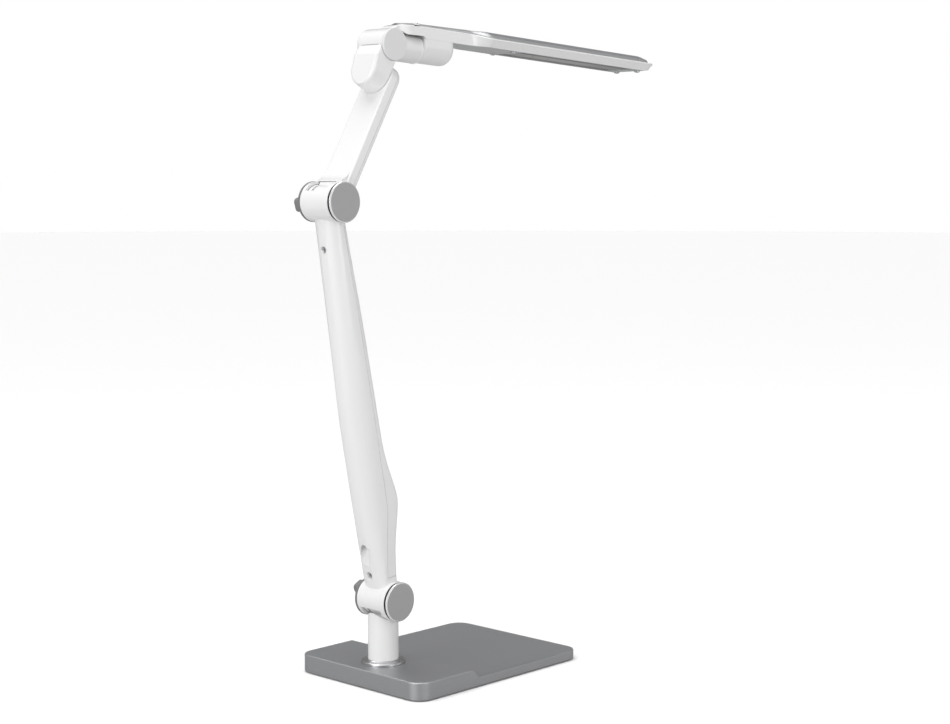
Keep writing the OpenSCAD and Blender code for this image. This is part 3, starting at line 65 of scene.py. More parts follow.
# %% Camera
CAMERA_PLACE = (-0.9603, -1.0078, 0.3823)
CAMERA_PITCH = math.radians(5.68)
CAMERA_YAW = math.radians(-46.50)
FOCAL_PX = 1858.3
PHOTO_WIDTH_PX = 950
SENSOR_MM = 36.0


def link(obj):
    bpy.context.scene.collection.objects.link(obj)
    return obj


camera_data = bpy.data.cameras.new("camera")
camera_data.sensor_fit = "HORIZONTAL"
camera_data.sensor_width = SENSOR_MM
camera_data.lens = FOCAL_PX / PHOTO_WIDTH_PX * SENSOR_MM
camera_data.clip_start = 50 * MM
camera = link(bpy.data.objects.new("camera", camera_data))
camera.location = CAMERA_PLACE
camera.rotation_euler = (math.pi / 2 - CAMERA_PITCH, 0, CAMERA_YAW)
bpy.context.scene.camera = camera
print("lens", round(camera_data.lens, 2), "mm")

# %% [markdown]
# ## Floor
# The lamp stands on a plain white table top, as in a catalogue. The floor is one large round sheet,
# so large that its rim lies at the horizon. It lies a hair under the lamp, so that the two don't fight
# for the same plane.

# %% Floor
FLOOR_RADIUS = 12.0
FLOOR_SEGMENTS = 64
FLOOR_DROP = 0.3 * MM


def make_floor():
    mesh = bpy.data.meshes.new("floor")
    bm = bmesh.new()
    bmesh.ops.create_circle(bm, cap_ends=True, radius=FLOOR_RADIUS, segments=FLOOR_SEGMENTS)
    bmesh.ops.translate(bm, verts=bm.verts, vec=(0, 0, -FLOOR_DROP))
    bm.to_mesh(mesh)
    bm.free()
    return link(bpy.data.objects.new("floor", mesh))


floor = make_floor()
print("floor radius", FLOOR_RADIUS)

# %% [markdown]
# ## Light
# The photograph's highlights tell where its lights stood. The post and the base's round corner both
# carry two bright upright stripes, as far to the left of their middle as to the right. A mirror angle
# worked out from that gives two large softboxes about 44 degrees to either side of the camera: one
# square on to the arms' front, and a weaker one square on to the side with the caps. A third, further
# round, is what the caps' flat faces mirror. A distant lamp with a wide disc hangs above: its light has
# no fall-off, so the white floor stays even to the horizon, and the wide disc keeps every shadow soft.

# %% Lamps
SUN_PLACE = (-0.2, 0.3, 2.0)
SUN_STRENGTH = 2.3
SUN_DISC = math.radians(70)
LAMP_MIDDLE = (0, 0, 0.25)
# name: place, width and height in metres, power in watts
SOFTBOXES = {
    "left_softbox": ((-1.75, -0.07, 0.62), (0.8, 1.2), 15.0),
    "right_softbox": ((0.0, -1.75, 0.62), (0.8, 1.2), 7.5),
    "side_softbox": ((1.4, -1.45, 0.8), (1.2, 1.2), 3.5),
}


def place_light(light, place, target):
    obj = link(bpy.data.objects.new(light.name, light))
    obj.location = place
    obj.rotation_euler = (Vector(target) - Vector(place)).to_track_quat("-Z", "Y").to_euler()


def make_sun():
    light = bpy.data.lights.new("top_light", "SUN")
    light.energy = SUN_STRENGTH
    light.angle = SUN_DISC
    place_light(light, SUN_PLACE, (0, 0, 0))


def make_softbox(name, place, size, power):
    light = bpy.data.lights.new(name, "AREA")
    light.shape = "RECTANGLE"
    light.size, light.size_y = size
    light.energy = power
    place_light(light, place, LAMP_MIDDLE)


make_sun()
for name, (place, size, power) in SOFTBOXES.items():
    make_softbox(name, place, size, power)

# %% [markdown]
# ### Surround
# The surround is brighter behind the camera than behind the lamp, so that the flat top of the base,
# which mirrors what is behind it, stays calm. The camera itself sees a page-white surround. The node
# helper written for it here serves every later material as well.

# %% Surround
SURROUND_BACK = 0.19
SURROUND_FRONT = 0.52
PAGE_WHITE = 1.0


def put_node(tree, kind, inputs, **settings):
    """Adds a node, sets its properties, then sets or links its inputs."""
    node = tree.nodes.new(kind)
    for label, value in settings.items():
        setattr(node, label, value)
    for label, value in inputs.items():
        if isinstance(value, bpy.types.NodeSocket):
            tree.links.new(value, node.inputs[label])
        else:
            node.inputs[label].default_value = value
    return node


def seen_by_camera(tree):
    return put_node(tree, "ShaderNodeLightPath", {}).outputs["Is Camera Ray"]


def make_surround():
    world = bpy.data.worlds.new("studio")
    world.use_nodes = True
    tree = world.node_tree
    background = tree.nodes["Background"]
    background.inputs["Color"].default_value = (1, 1, 1, 1)
    direction = put_node(tree, "ShaderNodeTexCoord", {}).outputs["Generated"]
    view = (-math.sin(CAMERA_YAW), math.cos(CAMERA_YAW), 0)
    towards_back = put_node(tree, "ShaderNodeVectorMath", {0: direction, 1: view}, operation="DOT_PRODUCT")
    around = put_node(tree, "ShaderNodeMapRange", {
        "Value": towards_back.outputs["Value"], "From Min": -1,
        "To Min": SURROUND_FRONT, "To Max": SURROUND_BACK})
    strength = put_node(tree, "ShaderNodeMapRange", {
        "Value": seen_by_camera(tree), "To Min": around.outputs["Result"], "To Max": PAGE_WHITE})
    tree.links.new(strength.outputs["Result"], background.inputs["Strength"])
    bpy.context.scene.world = world


make_surround()
bpy.context.scene.view_settings.view_transform = "Standard"
print("surround", SURROUND_FRONT, "to", SURROUND_BACK)

# %% [markdown]
# ## Material helpers
# Several finishes share the same fine effects, so each effect is a node group that is built once:
# a mould grain (the fine spark-eroded texture on plastic), a slow change of tone over the surface,
# and the glitter of metal flakes in paint. Each group puts out only a number, a colour or a normal;
# the shader itself stays in the material.

# %% Shader node helpers
def new_group(name, inputs, outputs):
    """A shader node group; returns its tree, what comes in and what goes out."""
    tree = bpy.data.node_groups.new(name, "ShaderNodeTree")
    for label, kind, value in inputs:
        socket = tree.interface.new_socket(label, in_out="INPUT", socket_type="NodeSocket" + kind)
        if value is not None:
            socket.default_value = value
    for label, kind in outputs:
        tree.interface.new_socket(label, in_out="OUTPUT", socket_type="NodeSocket" + kind)
    return tree, tree.nodes.new("NodeGroupInput").outputs, tree.nodes.new("NodeGroupOutput").inputs


def math_node(tree, operation, a, b=None, clamp=False):
    inputs = {0: a} if b is None else {0: a, 1: b}
    return put_node(tree, "ShaderNodeMath", inputs, operation=operation, use_clamp=clamp).outputs[0]


def noise_node(tree, vector, scale, detail=2.0, roughness=0.5):
    return put_node(tree, "ShaderNodeTexNoise", {
        "Vector": vector, "Scale": scale, "Detail": detail, "Roughness": roughness}).outputs["Fac"]


def bump_node(tree, height, distance):
    return put_node(tree, "ShaderNodeBump", {"Height": height, "Distance": distance}).outputs["Normal"]


def varied_colour(tree, colour, value, amount):
    """The colour, brighter and darker by half the amount as value runs over 0 to 1."""
    change = math_node(tree, "MULTIPLY", math_node(tree, "SUBTRACT", value, 0.5), amount)
    factor = math_node(tree, "ADD", change, 1.0)
    scaled = put_node(tree, "ShaderNodeVectorMath", {0: colour, "Scale": factor}, operation="SCALE")
    return scaled.outputs["Vector"]


print("node helpers ready")

# %% [markdown]
# ### Mould grain
# Injection-moulded covers get their satin look from the mould: spark erosion leaves pits a tenth of a
# millimetre across. Two noises, one fine and one coarser, make the height; a Bump node turns it into
# a normal. The coarser noise also varies the roughness a little, so that highlights sparkle softly.

# %% Mould grain group
COARSE_SCALE = 0.22
COARSE_HEIGHT = 0.8


def build_mould_grain():
    tree, given, result = new_group(
        "mould_grain",
        [("Vector", "Vector", None), ("Grain Scale", "Float", 2500.0), ("Depth", "Float", 0.02 * MM),
         ("Roughness", "Float", 0.4), ("Roughness Change", "Float", 0.06)],
        [("Normal", "Vector"), ("Roughness", "Float")],
    )
    fine = noise_node(tree, given["Vector"], given["Grain Scale"], 3.0, 0.6)
    coarse_scale = math_node(tree, "MULTIPLY", given["Grain Scale"], COARSE_SCALE)
    coarse = noise_node(tree, given["Vector"], coarse_scale)
    height = math_node(tree, "ADD", fine, math_node(tree, "MULTIPLY", coarse, COARSE_HEIGHT))
    tree.links.new(bump_node(tree, height, given["Depth"]), result["Normal"])
    centred = math_node(tree, "SUBTRACT", coarse, 0.5)
    change = math_node(tree, "MULTIPLY", centred, given["Roughness Change"])
    tree.links.new(math_node(tree, "ADD", given["Roughness"], change, True), result["Roughness"])
    return tree


mould_grain = build_mould_grain()
print(mould_grain.name, "built")

# %% [markdown]
# ### Tone
# No moulded or painted surface is one flat colour. A very slow noise moves the colour by one or two
# parts in a hundred, and a finer one adds the faintest mottle.

# %% Tone group
MOTTLE_SCALE = 420.0
MOTTLE_SHARE = 0.3


def build_tone():
    tree, given, result = new_group(
        "tone",
        [("Vector", "Vector", None), ("Colour", "Color", (0.8, 0.8, 0.8, 1)), ("Amount", "Float", 0.03),
         ("Patch Scale", "Float", 14.0)],
        [("Colour", "Color")],
    )
    slow = noise_node(tree, given["Vector"], given["Patch Scale"])
    fine = noise_node(tree, given["Vector"], MOTTLE_SCALE)
    both = math_node(tree, "ADD", math_node(tree, "MULTIPLY", slow, 1 - MOTTLE_SHARE),
                     math_node(tree, "MULTIPLY", fine, MOTTLE_SHARE))
    tree.links.new(varied_colour(tree, given["Colour"], both, given["Amount"]), result["Colour"])
    return tree


tone = build_tone()
print(tone.name, "built")

# %% [markdown]
# ### Metal flakes
# Silver paint holds aluminium flakes that lie at slightly different angles. Tiny Voronoi cells stand
# for the flakes: each cell gets its own brightness from one channel of its random colour, and another
# channel tilts the normal a little.

# %% Flake group
def build_flakes():
    tree, given, result = new_group(
        "metal_flakes",
        [("Vector", "Vector", None), ("Colour", "Color", (0.5, 0.5, 0.5, 1)),
         ("Flake Scale", "Float", 4500.0), ("Contrast", "Float", 0.12), ("Depth", "Float", 0.01 * MM)],
        [("Colour", "Color"), ("Normal", "Vector")],
    )
    cells = put_node(tree, "ShaderNodeTexVoronoi", {
        "Vector": given["Vector"], "Scale": given["Flake Scale"]})
    channels = put_node(tree, "ShaderNodeSeparateColor", {"Color": cells.outputs["Color"]}).outputs
    colour = varied_colour(tree, given["Colour"], channels["Red"], given["Contrast"])
    tree.links.new(colour, result["Colour"])
    tree.links.new(bump_node(tree, channels["Green"], given["Depth"]), result["Normal"])
    return tree


metal_flakes = build_flakes()
print(metal_flakes.name, "built")

# %% [markdown]
# ## Finishes
# One function makes every plastic, rubber and plain metal from the groups above, and a second one the
# flake paint. What differs between finishes is only their numbers: colour, gloss, grain size and depth.

# %% Finish helpers
COAT_ROUGHNESS = 0.1
PAINT_COAT_ROUGHNESS = 0.18
materials = {}


def new_material(name):
    material = bpy.data.materials.new(name)
    material.use_nodes = True
    materials[name] = material
    return material.node_tree, material.node_tree.nodes["Principled BSDF"].inputs


def object_coordinates(tree):
    return put_node(tree, "ShaderNodeTexCoord", {}).outputs["Object"]


def place_group(tree, group, inputs):
    return put_node(tree, "ShaderNodeGroup", inputs, node_tree=group)


def finish(name, colour, roughness, metallic=0.0, coat=0.0, specular=0.5, grain_scale=2500.0,
           grain_depth=0.02 * MM, roughness_change=0.06, tone_amount=0.03):
    tree, shader = new_material(name)
    vector = object_coordinates(tree)
    grain = place_group(tree, mould_grain, {
        "Vector": vector, "Grain Scale": grain_scale, "Depth": grain_depth, "Roughness": roughness,
        "Roughness Change": roughness_change})
    shade = place_group(tree, tone, {"Vector": vector, "Colour": (*colour, 1), "Amount": tone_amount})
    tree.links.new(grain.outputs["Normal"], shader["Normal"])
    tree.links.new(grain.outputs["Roughness"], shader["Roughness"])
    tree.links.new(shade.outputs["Colour"], shader["Base Color"])
    shader["Metallic"].default_value = metallic
    shader["Coat Weight"].default_value = coat
    shader["Coat Roughness"].default_value = COAT_ROUGHNESS
    shader["Specular IOR Level"].default_value = specular


def flake_paint(name, colour, roughness, metallic, coat):
    tree, shader = new_material(name)
    vector = object_coordinates(tree)
    shade = place_group(tree, tone, {"Vector": vector, "Colour": (*colour, 1)})
    flakes = place_group(tree, metal_flakes, {"Vector": vector, "Colour": shade.outputs["Colour"]})
    tree.links.new(flakes.outputs["Colour"], shader["Base Color"])
    tree.links.new(flakes.outputs["Normal"], shader["Normal"])
    shader["Metallic"].default_value = metallic
    shader["Roughness"].default_value = roughness
    shader["Coat Weight"].default_value = coat
    shader["Coat Roughness"].default_value = PAINT_COAT_ROUGHNESS


print("finish helpers ready")

# %% [markdown]
# ### The finishes themselves
# The base and the plates on the head are silver-grey paint; the long plate's sloping sides get a
# lighter silver as a painted highlight. The arms, neck and head are glossy white plastic, and the
# joints' end caps a shade greyer. The round caps and the cover under the head are satin grey plastic,
# the knobs a darker one. The collar round the post is bright metal. What is inside is steel, iron,
# brass, rubber and board. A near-black finish is painted shade in grooves and slits, and a near-white
# one is a painted highlight on the ring of the head.

# %% Finishes
flake_paint("silver_paint", (0.40, 0.405, 0.418), 0.48, metallic=0.95, coat=0.1)
# lighter silver on the long plate's sloping sides: a painted highlight
flake_paint("silver_painted_highlight", (0.66, 0.665, 0.675), 0.40, metallic=0.9, coat=0.1)
finish("white_plastic", (0.80, 0.80, 0.80), 0.30, coat=0.6, grain_scale=900.0, grain_depth=0.004 * MM,
       roughness_change=0.04, tone_amount=0.02)
finish("joint_plastic", (0.72, 0.72, 0.73), 0.42, grain_scale=2600.0, grain_depth=0.01 * MM)
finish("grey_plastic", (0.36, 0.36, 0.365), 0.38, grain_scale=2600.0, grain_depth=0.014 * MM)
finish("knob_plastic", (0.19, 0.19, 0.195), 0.36, grain_scale=2600.0, grain_depth=0.014 * MM)
finish("under_grey", (0.48, 0.485, 0.49), 0.5, grain_scale=2400.0, grain_depth=0.014 * MM, specular=0.3)
finish("bright_ring", (0.60, 0.60, 0.61), 0.28, metallic=1.0, grain_scale=3500.0,
       grain_depth=0.002 * MM, roughness_change=0.05)
finish("polished_edge", (0.92, 0.92, 0.92), 0.16, metallic=0.6, grain_scale=3500.0,
       grain_depth=0.001 * MM)
finish("steel", (0.56, 0.57, 0.59), 0.32, metallic=1.0, grain_scale=1800.0, grain_depth=0.006 * MM,
       roughness_change=0.12)
finish("iron_weight", (0.10, 0.10, 0.11), 0.65, metallic=0.6, grain_scale=700.0, grain_depth=0.08 * MM,
       tone_amount=0.15)
finish("brass", (0.72, 0.55, 0.26), 0.30, metallic=1.0, grain_scale=1500.0, grain_depth=0.006 * MM)
finish("rubber", (0.035, 0.035, 0.037), 0.78, grain_scale=1100.0, grain_depth=0.03 * MM, specular=0.3)
finish("black_plastic", (0.03, 0.03, 0.033), 0.50, grain_scale=2200.0)
finish("lead_rubber", (0.62, 0.62, 0.62), 0.55, grain_scale=1500.0, grain_depth=0.01 * MM, specular=0.35)
finish("board", (0.70, 0.74, 0.70), 0.45, grain_scale=1600.0, grain_depth=0.01 * MM)
finish("led_resin", (0.90, 0.78, 0.32), 0.35, grain_scale=4000.0, grain_depth=0.004 * MM)
finish("led_housing", (0.85, 0.85, 0.84), 0.4)
# near-white for the ring on the head: a painted highlight
finish("ring_painted_highlight", (0.95, 0.95, 0.95), 0.25)
# near-black for the cap grooves, flange fronts and key slit: painted shade
finish("groove_painted_shade", (0.06, 0.06, 0.065), 0.5)
print("finishes", len(materials))

# %% [markdown]
# ### The diffuser
# With the lamp off, the light window looks paler along its middle, where the white LEDs lie close
# behind it, and darker to both sides. The distance from the lamp's middle plane mixes the two tones.

# %% Diffuser finish
STRIPE_MIDDLE = (0.44, 0.44, 0.435, 1)
STRIPE_SIDES = (0.26, 0.26, 0.26, 1)
STRIPE_HALF_WIDTH = 7.0 * MM
STRIPE_SOFTNESS = 0.4 * MM


def striped_diffuser():
    finish("diffuser", STRIPE_MIDDLE[:3], 0.45, grain_scale=1800.0, grain_depth=0.008 * MM, specular=0.3)
    tree = materials["diffuser"].node_tree
    split = put_node(tree, "ShaderNodeSeparateXYZ", {"Vector": object_coordinates(tree)})
    step = put_node(tree, "ShaderNodeMapRange", {
        "Value": math_node(tree, "ABSOLUTE", split.outputs["Y"]),
        "From Min": STRIPE_HALF_WIDTH - STRIPE_SOFTNESS, "From Max": STRIPE_HALF_WIDTH + STRIPE_SOFTNESS})
    mix = put_node(tree, "ShaderNodeMix", {
        "Factor": step.outputs["Result"], "A": STRIPE_MIDDLE, "B": STRIPE_SIDES}, data_type="RGBA")
    shade = tree.nodes["Principled BSDF"].inputs["Base Color"].links[0].from_node
    tree.links.new(mix.outputs["Result"], shade.inputs["Colour"])


striped_diffuser()
print("diffuser stripe", 2 * STRIPE_HALF_WIDTH, "m wide")

# %% [markdown]
# ### The floor
# In the photograph the page is pure white, but the lamp's underside is not lit as if it stood on a
# sheet of light. So the camera sees the floor white, and every other ray sees it as a mid grey.

# %% Floor material
FLOOR_SEEN = 0.92
FLOOR_BOUNCE = 0.45


def floor_material():
    tree, shader = new_material("floor_white")
    shade = put_node(tree, "ShaderNodeMapRange", {
        "Value": seen_by_camera(tree), "To Min": FLOOR_BOUNCE, "To Max": FLOOR_SEEN})
    soft = place_group(tree, tone, {
        "Vector": object_coordinates(tree), "Amount": 0.005, "Colour": shade.outputs["Result"]})
    tree.links.new(soft.outputs["Colour"], shader["Base Color"])
    shader["Roughness"].default_value = 0.8
    shader["Specular IOR Level"].default_value = 0.1


floor_material()
floor.data.materials.append(materials["floor_white"])
print("floor", floor.data.materials[0].name)

# %% [markdown]
# ## Dressing the moulded pieces
# A CAD solid has knife-sharp edges, but a moulded or pressed piece never does: its edges are rounded
# by a few tenths of a millimetre, and that narrow band catches the light. Each visible piece is
# copied, its loose triangles are merged, flat areas are joined into single faces, and a small bevel
# rounds what is left of the sharp edges. The copy then stands for the CAD piece.

# %% Dressing helpers
MERGE = 0.004 * MM
FLAT_ANGLE = math.radians(0.4)
SHARP_ANGLE = math.radians(32)
BEVEL_SEGMENTS = 2
dressed = {}


def merged_copy(node, name):
    mesh = frame["nodes"][node].data.copy()
    mesh.name = name
    mesh.materials.clear()
    bm = bmesh.new()
    bm.from_mesh(mesh)
    bmesh.ops.remove_doubles(bm, verts=bm.verts, dist=MERGE)
    bmesh.ops.dissolve_limit(bm, angle_limit=FLAT_ANGLE, verts=bm.verts, edges=bm.edges)
    bm.to_mesh(mesh)
    bm.free()
    for layer in list(mesh.uv_layers):
        mesh.uv_layers.remove(layer)
    mesh.shade_smooth()
    mesh.set_sharp_from_angle(angle=SHARP_ANGLE)
    return link(bpy.data.objects.new(name, mesh))


def stand_for(piece, node):
    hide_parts(node)
    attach(piece, body_of[node])
    dressed[node] = piece


def dress(node, edge_mm):
    piece = merged_copy(node, node + "_skin")
    piece.data.materials.append(materials[slot_of[node]])
    if edge_mm:
        bevel = piece.modifiers.new("edge", "BEVEL")
        bevel.width = edge_mm * MM
        bevel.segments = BEVEL_SEGMENTS
        bevel.limit_method = "ANGLE"
        bevel.angle_limit = SHARP_ANGLE
        bevel.harden_normals = True
        bevel.use_clamp_overlap = True
        bevel.miter_outer = "MITER_ARC"
    weighted = piece.modifiers.new("flat_faces_stay_flat", "WEIGHTED_NORMAL")
    weighted.keep_sharp = True
    stand_for(piece, node)


print("dressing ready")

# %% [markdown]
# ### Which pieces, and how round
# Thin shells take a fine edge, thick ones a rounder one. A piece whose edges are already rounded in
# its own shape takes none and only has its shading smoothed.

# %% Dress the visible pieces
EDGES_MM = {
    "base_cover": 0.0, "swivel_collar": 0.15, "post_tube": 0.2, "post_knuckle": 0.25,
    "lower_arm_front_shell": 0.0, "lower_arm_rear_shell": 0.0, "lower_flange": 0.15, "elbow_flange": 0.15,
    "lower_cap": 0.2, "elbow_cap": 0.2, "lower_knob": 0.0, "elbow_knob": 0.0,
    "upper_arm_front_shell": 0.0, "upper_arm_rear_shell": 0.0, "upper_arm_knuckle": 0.2,
    "neck_body": 0.0, "head_hinge_drum": 0.2, "head_cap_near": 0.2, "head_cap_far": 0.2, "head_ring": 0.1,
    "head_shell": 0.35, "head_top_plate": 0.0, "head_rear_plate": 0.1, "head_housing_cover": 0.0,
    "head_under_cover": 0.15, "base_bottom_plate": 0.2, "dc_inlet": 0.15, "power_button": 0.15,
}
for node, edge_mm in EDGES_MM.items():
    dress(node, edge_mm)
print("dressed", len(dressed), "faces", sum(len(o.data.polygons) for o in dressed.values()))

# %% [markdown]
# ### Two-tone pieces, painted shade and painted highlights
# Each round cap has a turned, polished chamfer round its satin face. The groove behind it is painted
# near-black as painted shade, and so is the flange's front face where the groove shows it. The long
# plate's sloping sides get a lighter silver, a painted highlight for the light they catch. The knobs
# are darker than the caps, the cover under the head is lighter, and the ring on the head is painted
# near-white as a painted highlight, a thin bright line.

# %% Caps, flanges and plate
CHAMFER_LEAN = (0.2, 0.9)
GROOVE_INSET = 1.5 * MM
FLANGE_FRONT_LEAN = 0.95
FLANGE_FRONT_DEPTH = 0.3 * MM
PLATE_SIDE_LEAN = 0.85


def paint(node, material, chosen):
    """Gives the faces for which chosen(centre, normal) is true another finish."""
    mesh = dressed[node].data
    mesh.materials.append(materials[material])
    count = 0
    for face in mesh.polygons:
        if chosen(face.center, face.normal):
            face.material_index = len(mesh.materials) - 1
            count += 1
    print(node, material, count, "faces")


def round_middle(node):
    """X and Z of the axis of a round piece, and its radius."""
    low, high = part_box(node)
    return (low[0] + high[0]) / 2, (low[2] + high[2]) / 2, (high[0] - low[0]) / 2


for cap in ("lower_cap", "elbow_cap"):
    x, z, radius = round_middle(cap)
    paint(cap, "polished_edge", lambda c, n: CHAMFER_LEAN[0] < -n.y < CHAMFER_LEAN[1])
    # the groove behind the cap is painted near-black: painted shade
    paint(cap, "groove_painted_shade", lambda c, n: math.hypot(c.x - x, c.z - z) < radius - GROOVE_INSET
          and -n.y < CHAMFER_LEAN[0])
# the flange's front face, where the groove shows it, is painted near-black: painted shade
for flange in ("lower_flange", "elbow_flange"):
    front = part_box(flange)[0][1]
    paint(flange, "groove_painted_shade", lambda c, n: -n.y > FLANGE_FRONT_LEAN and c.y < front + FLANGE_FRONT_DEPTH)
# the plate's sloping sides are painted a lighter silver: a painted highlight
paint("head_top_plate", "silver_painted_highlight", lambda c, n: abs(n.z) < PLATE_SIDE_LEAN)
# the knobs and the under cover get their own colours; the ring on the head is painted near-white, a painted
# highlight
for node, material in (("lower_knob", "knob_plastic"), ("elbow_knob", "knob_plastic"),
                       ("head_under_cover", "under_grey"), ("head_ring", "ring_painted_highlight")):
    dressed[node].data.materials[0] = materials[material]

# %% [markdown]
# ### Key and barrels
# The walls and floor of the slit in the white key are painted near-black as painted shade. Where a
# barrel grows out of the arm, the line between the two is kept crisp: smooth shading across it would
# leave a ragged edge.

# %% Key and barrels
SLIT_HALF_WIDTH = 0.55 * MM
SLIT_DEPTHS = (0.2 * MM, 0.8 * MM)
BARREL_R = 14.6 * MM
BARREL_TOLERANCE = 0.06 * MM


def crease_round(node, x, z):
    """Marks the edges sharp where a barrel about the Y axis meets the rest of a piece."""
    mesh = dressed[node].data
    on_barrel = [abs(math.hypot(vertex.co.x - x, vertex.co.z - z) - BARREL_R) < BARREL_TOLERANCE
                 for vertex in mesh.vertices]
    sides = {}
    for face in mesh.polygons:
        round_face = all(on_barrel[index] for index in face.vertices)
        for key in face.edge_keys:
            sides.setdefault(key, set()).add(round_face)
    creases = [edge for edge in mesh.edges if len(sides.get(edge.key, ())) == 2]
    for edge in creases:
        edge.use_edge_sharp = True
    print(node, "creases", len(creases))


key_low, key_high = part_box("power_button")
key_middle = (key_low[0] + key_high[0]) / 2
# the walls and floor of the key's slit are painted near-black: painted shade
paint("power_button", "groove_painted_shade", lambda c, n: abs(n.y) < 0.5
      and abs(c.x - key_middle) < SLIT_HALF_WIDTH and SLIT_DEPTHS[0] < key_high[2] - c.z < SLIT_DEPTHS[1])
for cap in ("lower_cap", "elbow_cap"):
    x, z, radius = round_middle(cap)
    for node in ("lower_arm_front_shell", "lower_arm_rear_shell"):
        crease_round(node, x, z)

# %% [markdown]
# ## Repeated parts with Geometry Nodes
# The lamp's LEDs, the ribs on its diffuser and the studs under its pad are each one small part
# repeated many times. A Geometry Nodes tree lays the part out along a line or over a grid. Its sizes
# are named inputs. The result is turned into a plain mesh at once, so that no modifier is left on it.

# %% Geometry Nodes helpers
def new_geometry_tree(name, inputs):
    """A Geometry Nodes tree; returns it, what comes in and what goes out."""
    tree = bpy.data.node_groups.new(name, "GeometryNodeTree")
    for label, kind in {"Geometry": "Geometry", **inputs}.items():
        tree.interface.new_socket(label, in_out="INPUT", socket_type="NodeSocket" + kind)
    tree.interface.new_socket("Geometry", in_out="OUTPUT", socket_type="NodeSocketGeometry")
    return tree, tree.nodes.new("NodeGroupInput").outputs, tree.nodes.new("NodeGroupOutput").inputs


def with_material(tree, geometry, material):
    inputs = {"Geometry": geometry, "Material": material}
    return put_node(tree, "GeometryNodeSetMaterial", inputs).outputs["Geometry"]


def moved(tree, geometry, offset):
    inputs = {"Geometry": geometry, "Translation": offset}
    return put_node(tree, "GeometryNodeTransform", inputs).outputs["Geometry"]


def joined(tree, first, second):
    node = put_node(tree, "GeometryNodeJoinGeometry", {})
    tree.links.new(second, node.inputs["Geometry"])
    tree.links.new(first, node.inputs["Geometry"])
    return node.outputs["Geometry"]


def instanced(tree, points, instance, rotation):
    inputs = {"Points": points, "Instance": instance, "Rotation": rotation}
    placed = put_node(tree, "GeometryNodeInstanceOnPoints", inputs).outputs["Instances"]
    return put_node(tree, "GeometryNodeRealizeInstances", {"Geometry": placed}).outputs["Geometry"]


def baked(name, start_mesh, tree, values):
    """Runs a Geometry Nodes tree on a mesh and returns an object with the plain result."""
    carrier = link(bpy.data.objects.new(name, start_mesh))
    modifier = carrier.modifiers.new("layout", "NODES")
    modifier.node_group = tree
    identifiers = {item.name: item.identifier for item in tree.interface.items_tree if item.in_out == "INPUT"}
    for label, value in values.items():
        modifier[identifiers[label]] = value
    evaluated = carrier.evaluated_get(bpy.context.evaluated_depsgraph_get())
    result = bpy.data.meshes.new_from_object(evaluated)
    carrier.modifiers.clear()
    carrier.data = result
    result.name = name
    print(name, "faces", len(result.polygons))
    return carrier


# %% [markdown]
# ### LEDs
# Each LED is a white package with a round yellow phosphor dot on its lower face. They sit in one row
# at an even pitch, tipped with the head.

# %% LED row
HEAD_PITCH = math.radians(3.0)
HEAD_ALONG = Vector((math.cos(HEAD_PITCH), 0, -math.sin(HEAD_PITCH)))
HEAD_UP = Vector((math.sin(HEAD_PITCH), 0, math.cos(HEAD_PITCH)))
LED_COUNT = 26
LED_L, LED_W, LED_T = 2.8 * MM, 3.5 * MM, 0.62 * MM
LED_DOT_R = 1.15 * MM
LED_DOT_T = 0.06 * MM
LED_DOT_SIDES = 24


def extent(node, axis):
    """Lowest and highest reach of a CAD node along an axis."""
    reach = [vertex.co.dot(axis) for vertex in frame["nodes"][node].data.vertices]
    return min(reach), max(reach)


def build_led_row():
    tree, given, result = new_geometry_tree("led_row", {
        "Count": "Int", "Start": "Vector", "End": "Vector", "Turn": "Rotation", "Package Size": "Vector",
        "Dot Radius": "Float", "Dot Thickness": "Float", "Dot Place": "Vector", "Package": "Material",
        "Phosphor": "Material"})
    line = put_node(tree, "GeometryNodeMeshLine", {
        "Count": given["Count"], "Start Location": given["Start"], "Offset": given["End"]},
        mode="END_POINTS")
    box = put_node(tree, "GeometryNodeMeshCube", {"Size": given["Package Size"]})
    dot = put_node(tree, "GeometryNodeMeshCylinder", {
        "Vertices": LED_DOT_SIDES, "Radius": given["Dot Radius"], "Depth": given["Dot Thickness"]})
    below = moved(tree, dot.outputs["Mesh"], given["Dot Place"])
    led = joined(tree, with_material(tree, box.outputs["Mesh"], given["Package"]),
                 with_material(tree, below, given["Phosphor"]))
    tree.links.new(instanced(tree, line.outputs["Mesh"], led, given["Turn"]), result["Geometry"])
    return tree


def led_row():
    first, last = extent("led_chips", HEAD_ALONG)
    level = HEAD_UP * (extent("led_chips", HEAD_UP)[1] - LED_T / 2)
    return baked("led_row", bpy.data.meshes.new("led_row_start"), build_led_row(), {
        "Count": LED_COUNT, "Start": HEAD_ALONG * (first + LED_L / 2) + level,
        "End": HEAD_ALONG * (last - LED_L / 2) + level, "Turn": (0, HEAD_PITCH, 0),
        "Package Size": (LED_L, LED_W, LED_T), "Dot Radius": LED_DOT_R, "Dot Thickness": LED_DOT_T,
        "Dot Place": (0, 0, -(LED_T + LED_DOT_T) / 2), "Package": materials["led_housing"],
        "Phosphor": materials["led_resin"]})


stand_for(led_row(), "led_chips")

# %% [markdown]
# ### Diffuser ribs
# The light window is a ribbed strip: fine round ribs run along it and spread the light sideways.

# %% Ribbed diffuser
RIB_PITCH = 1.5 * MM
RIB_R = 0.35 * MM
RIB_SIDES = 10
RIB_EDGE = 1.2 * MM


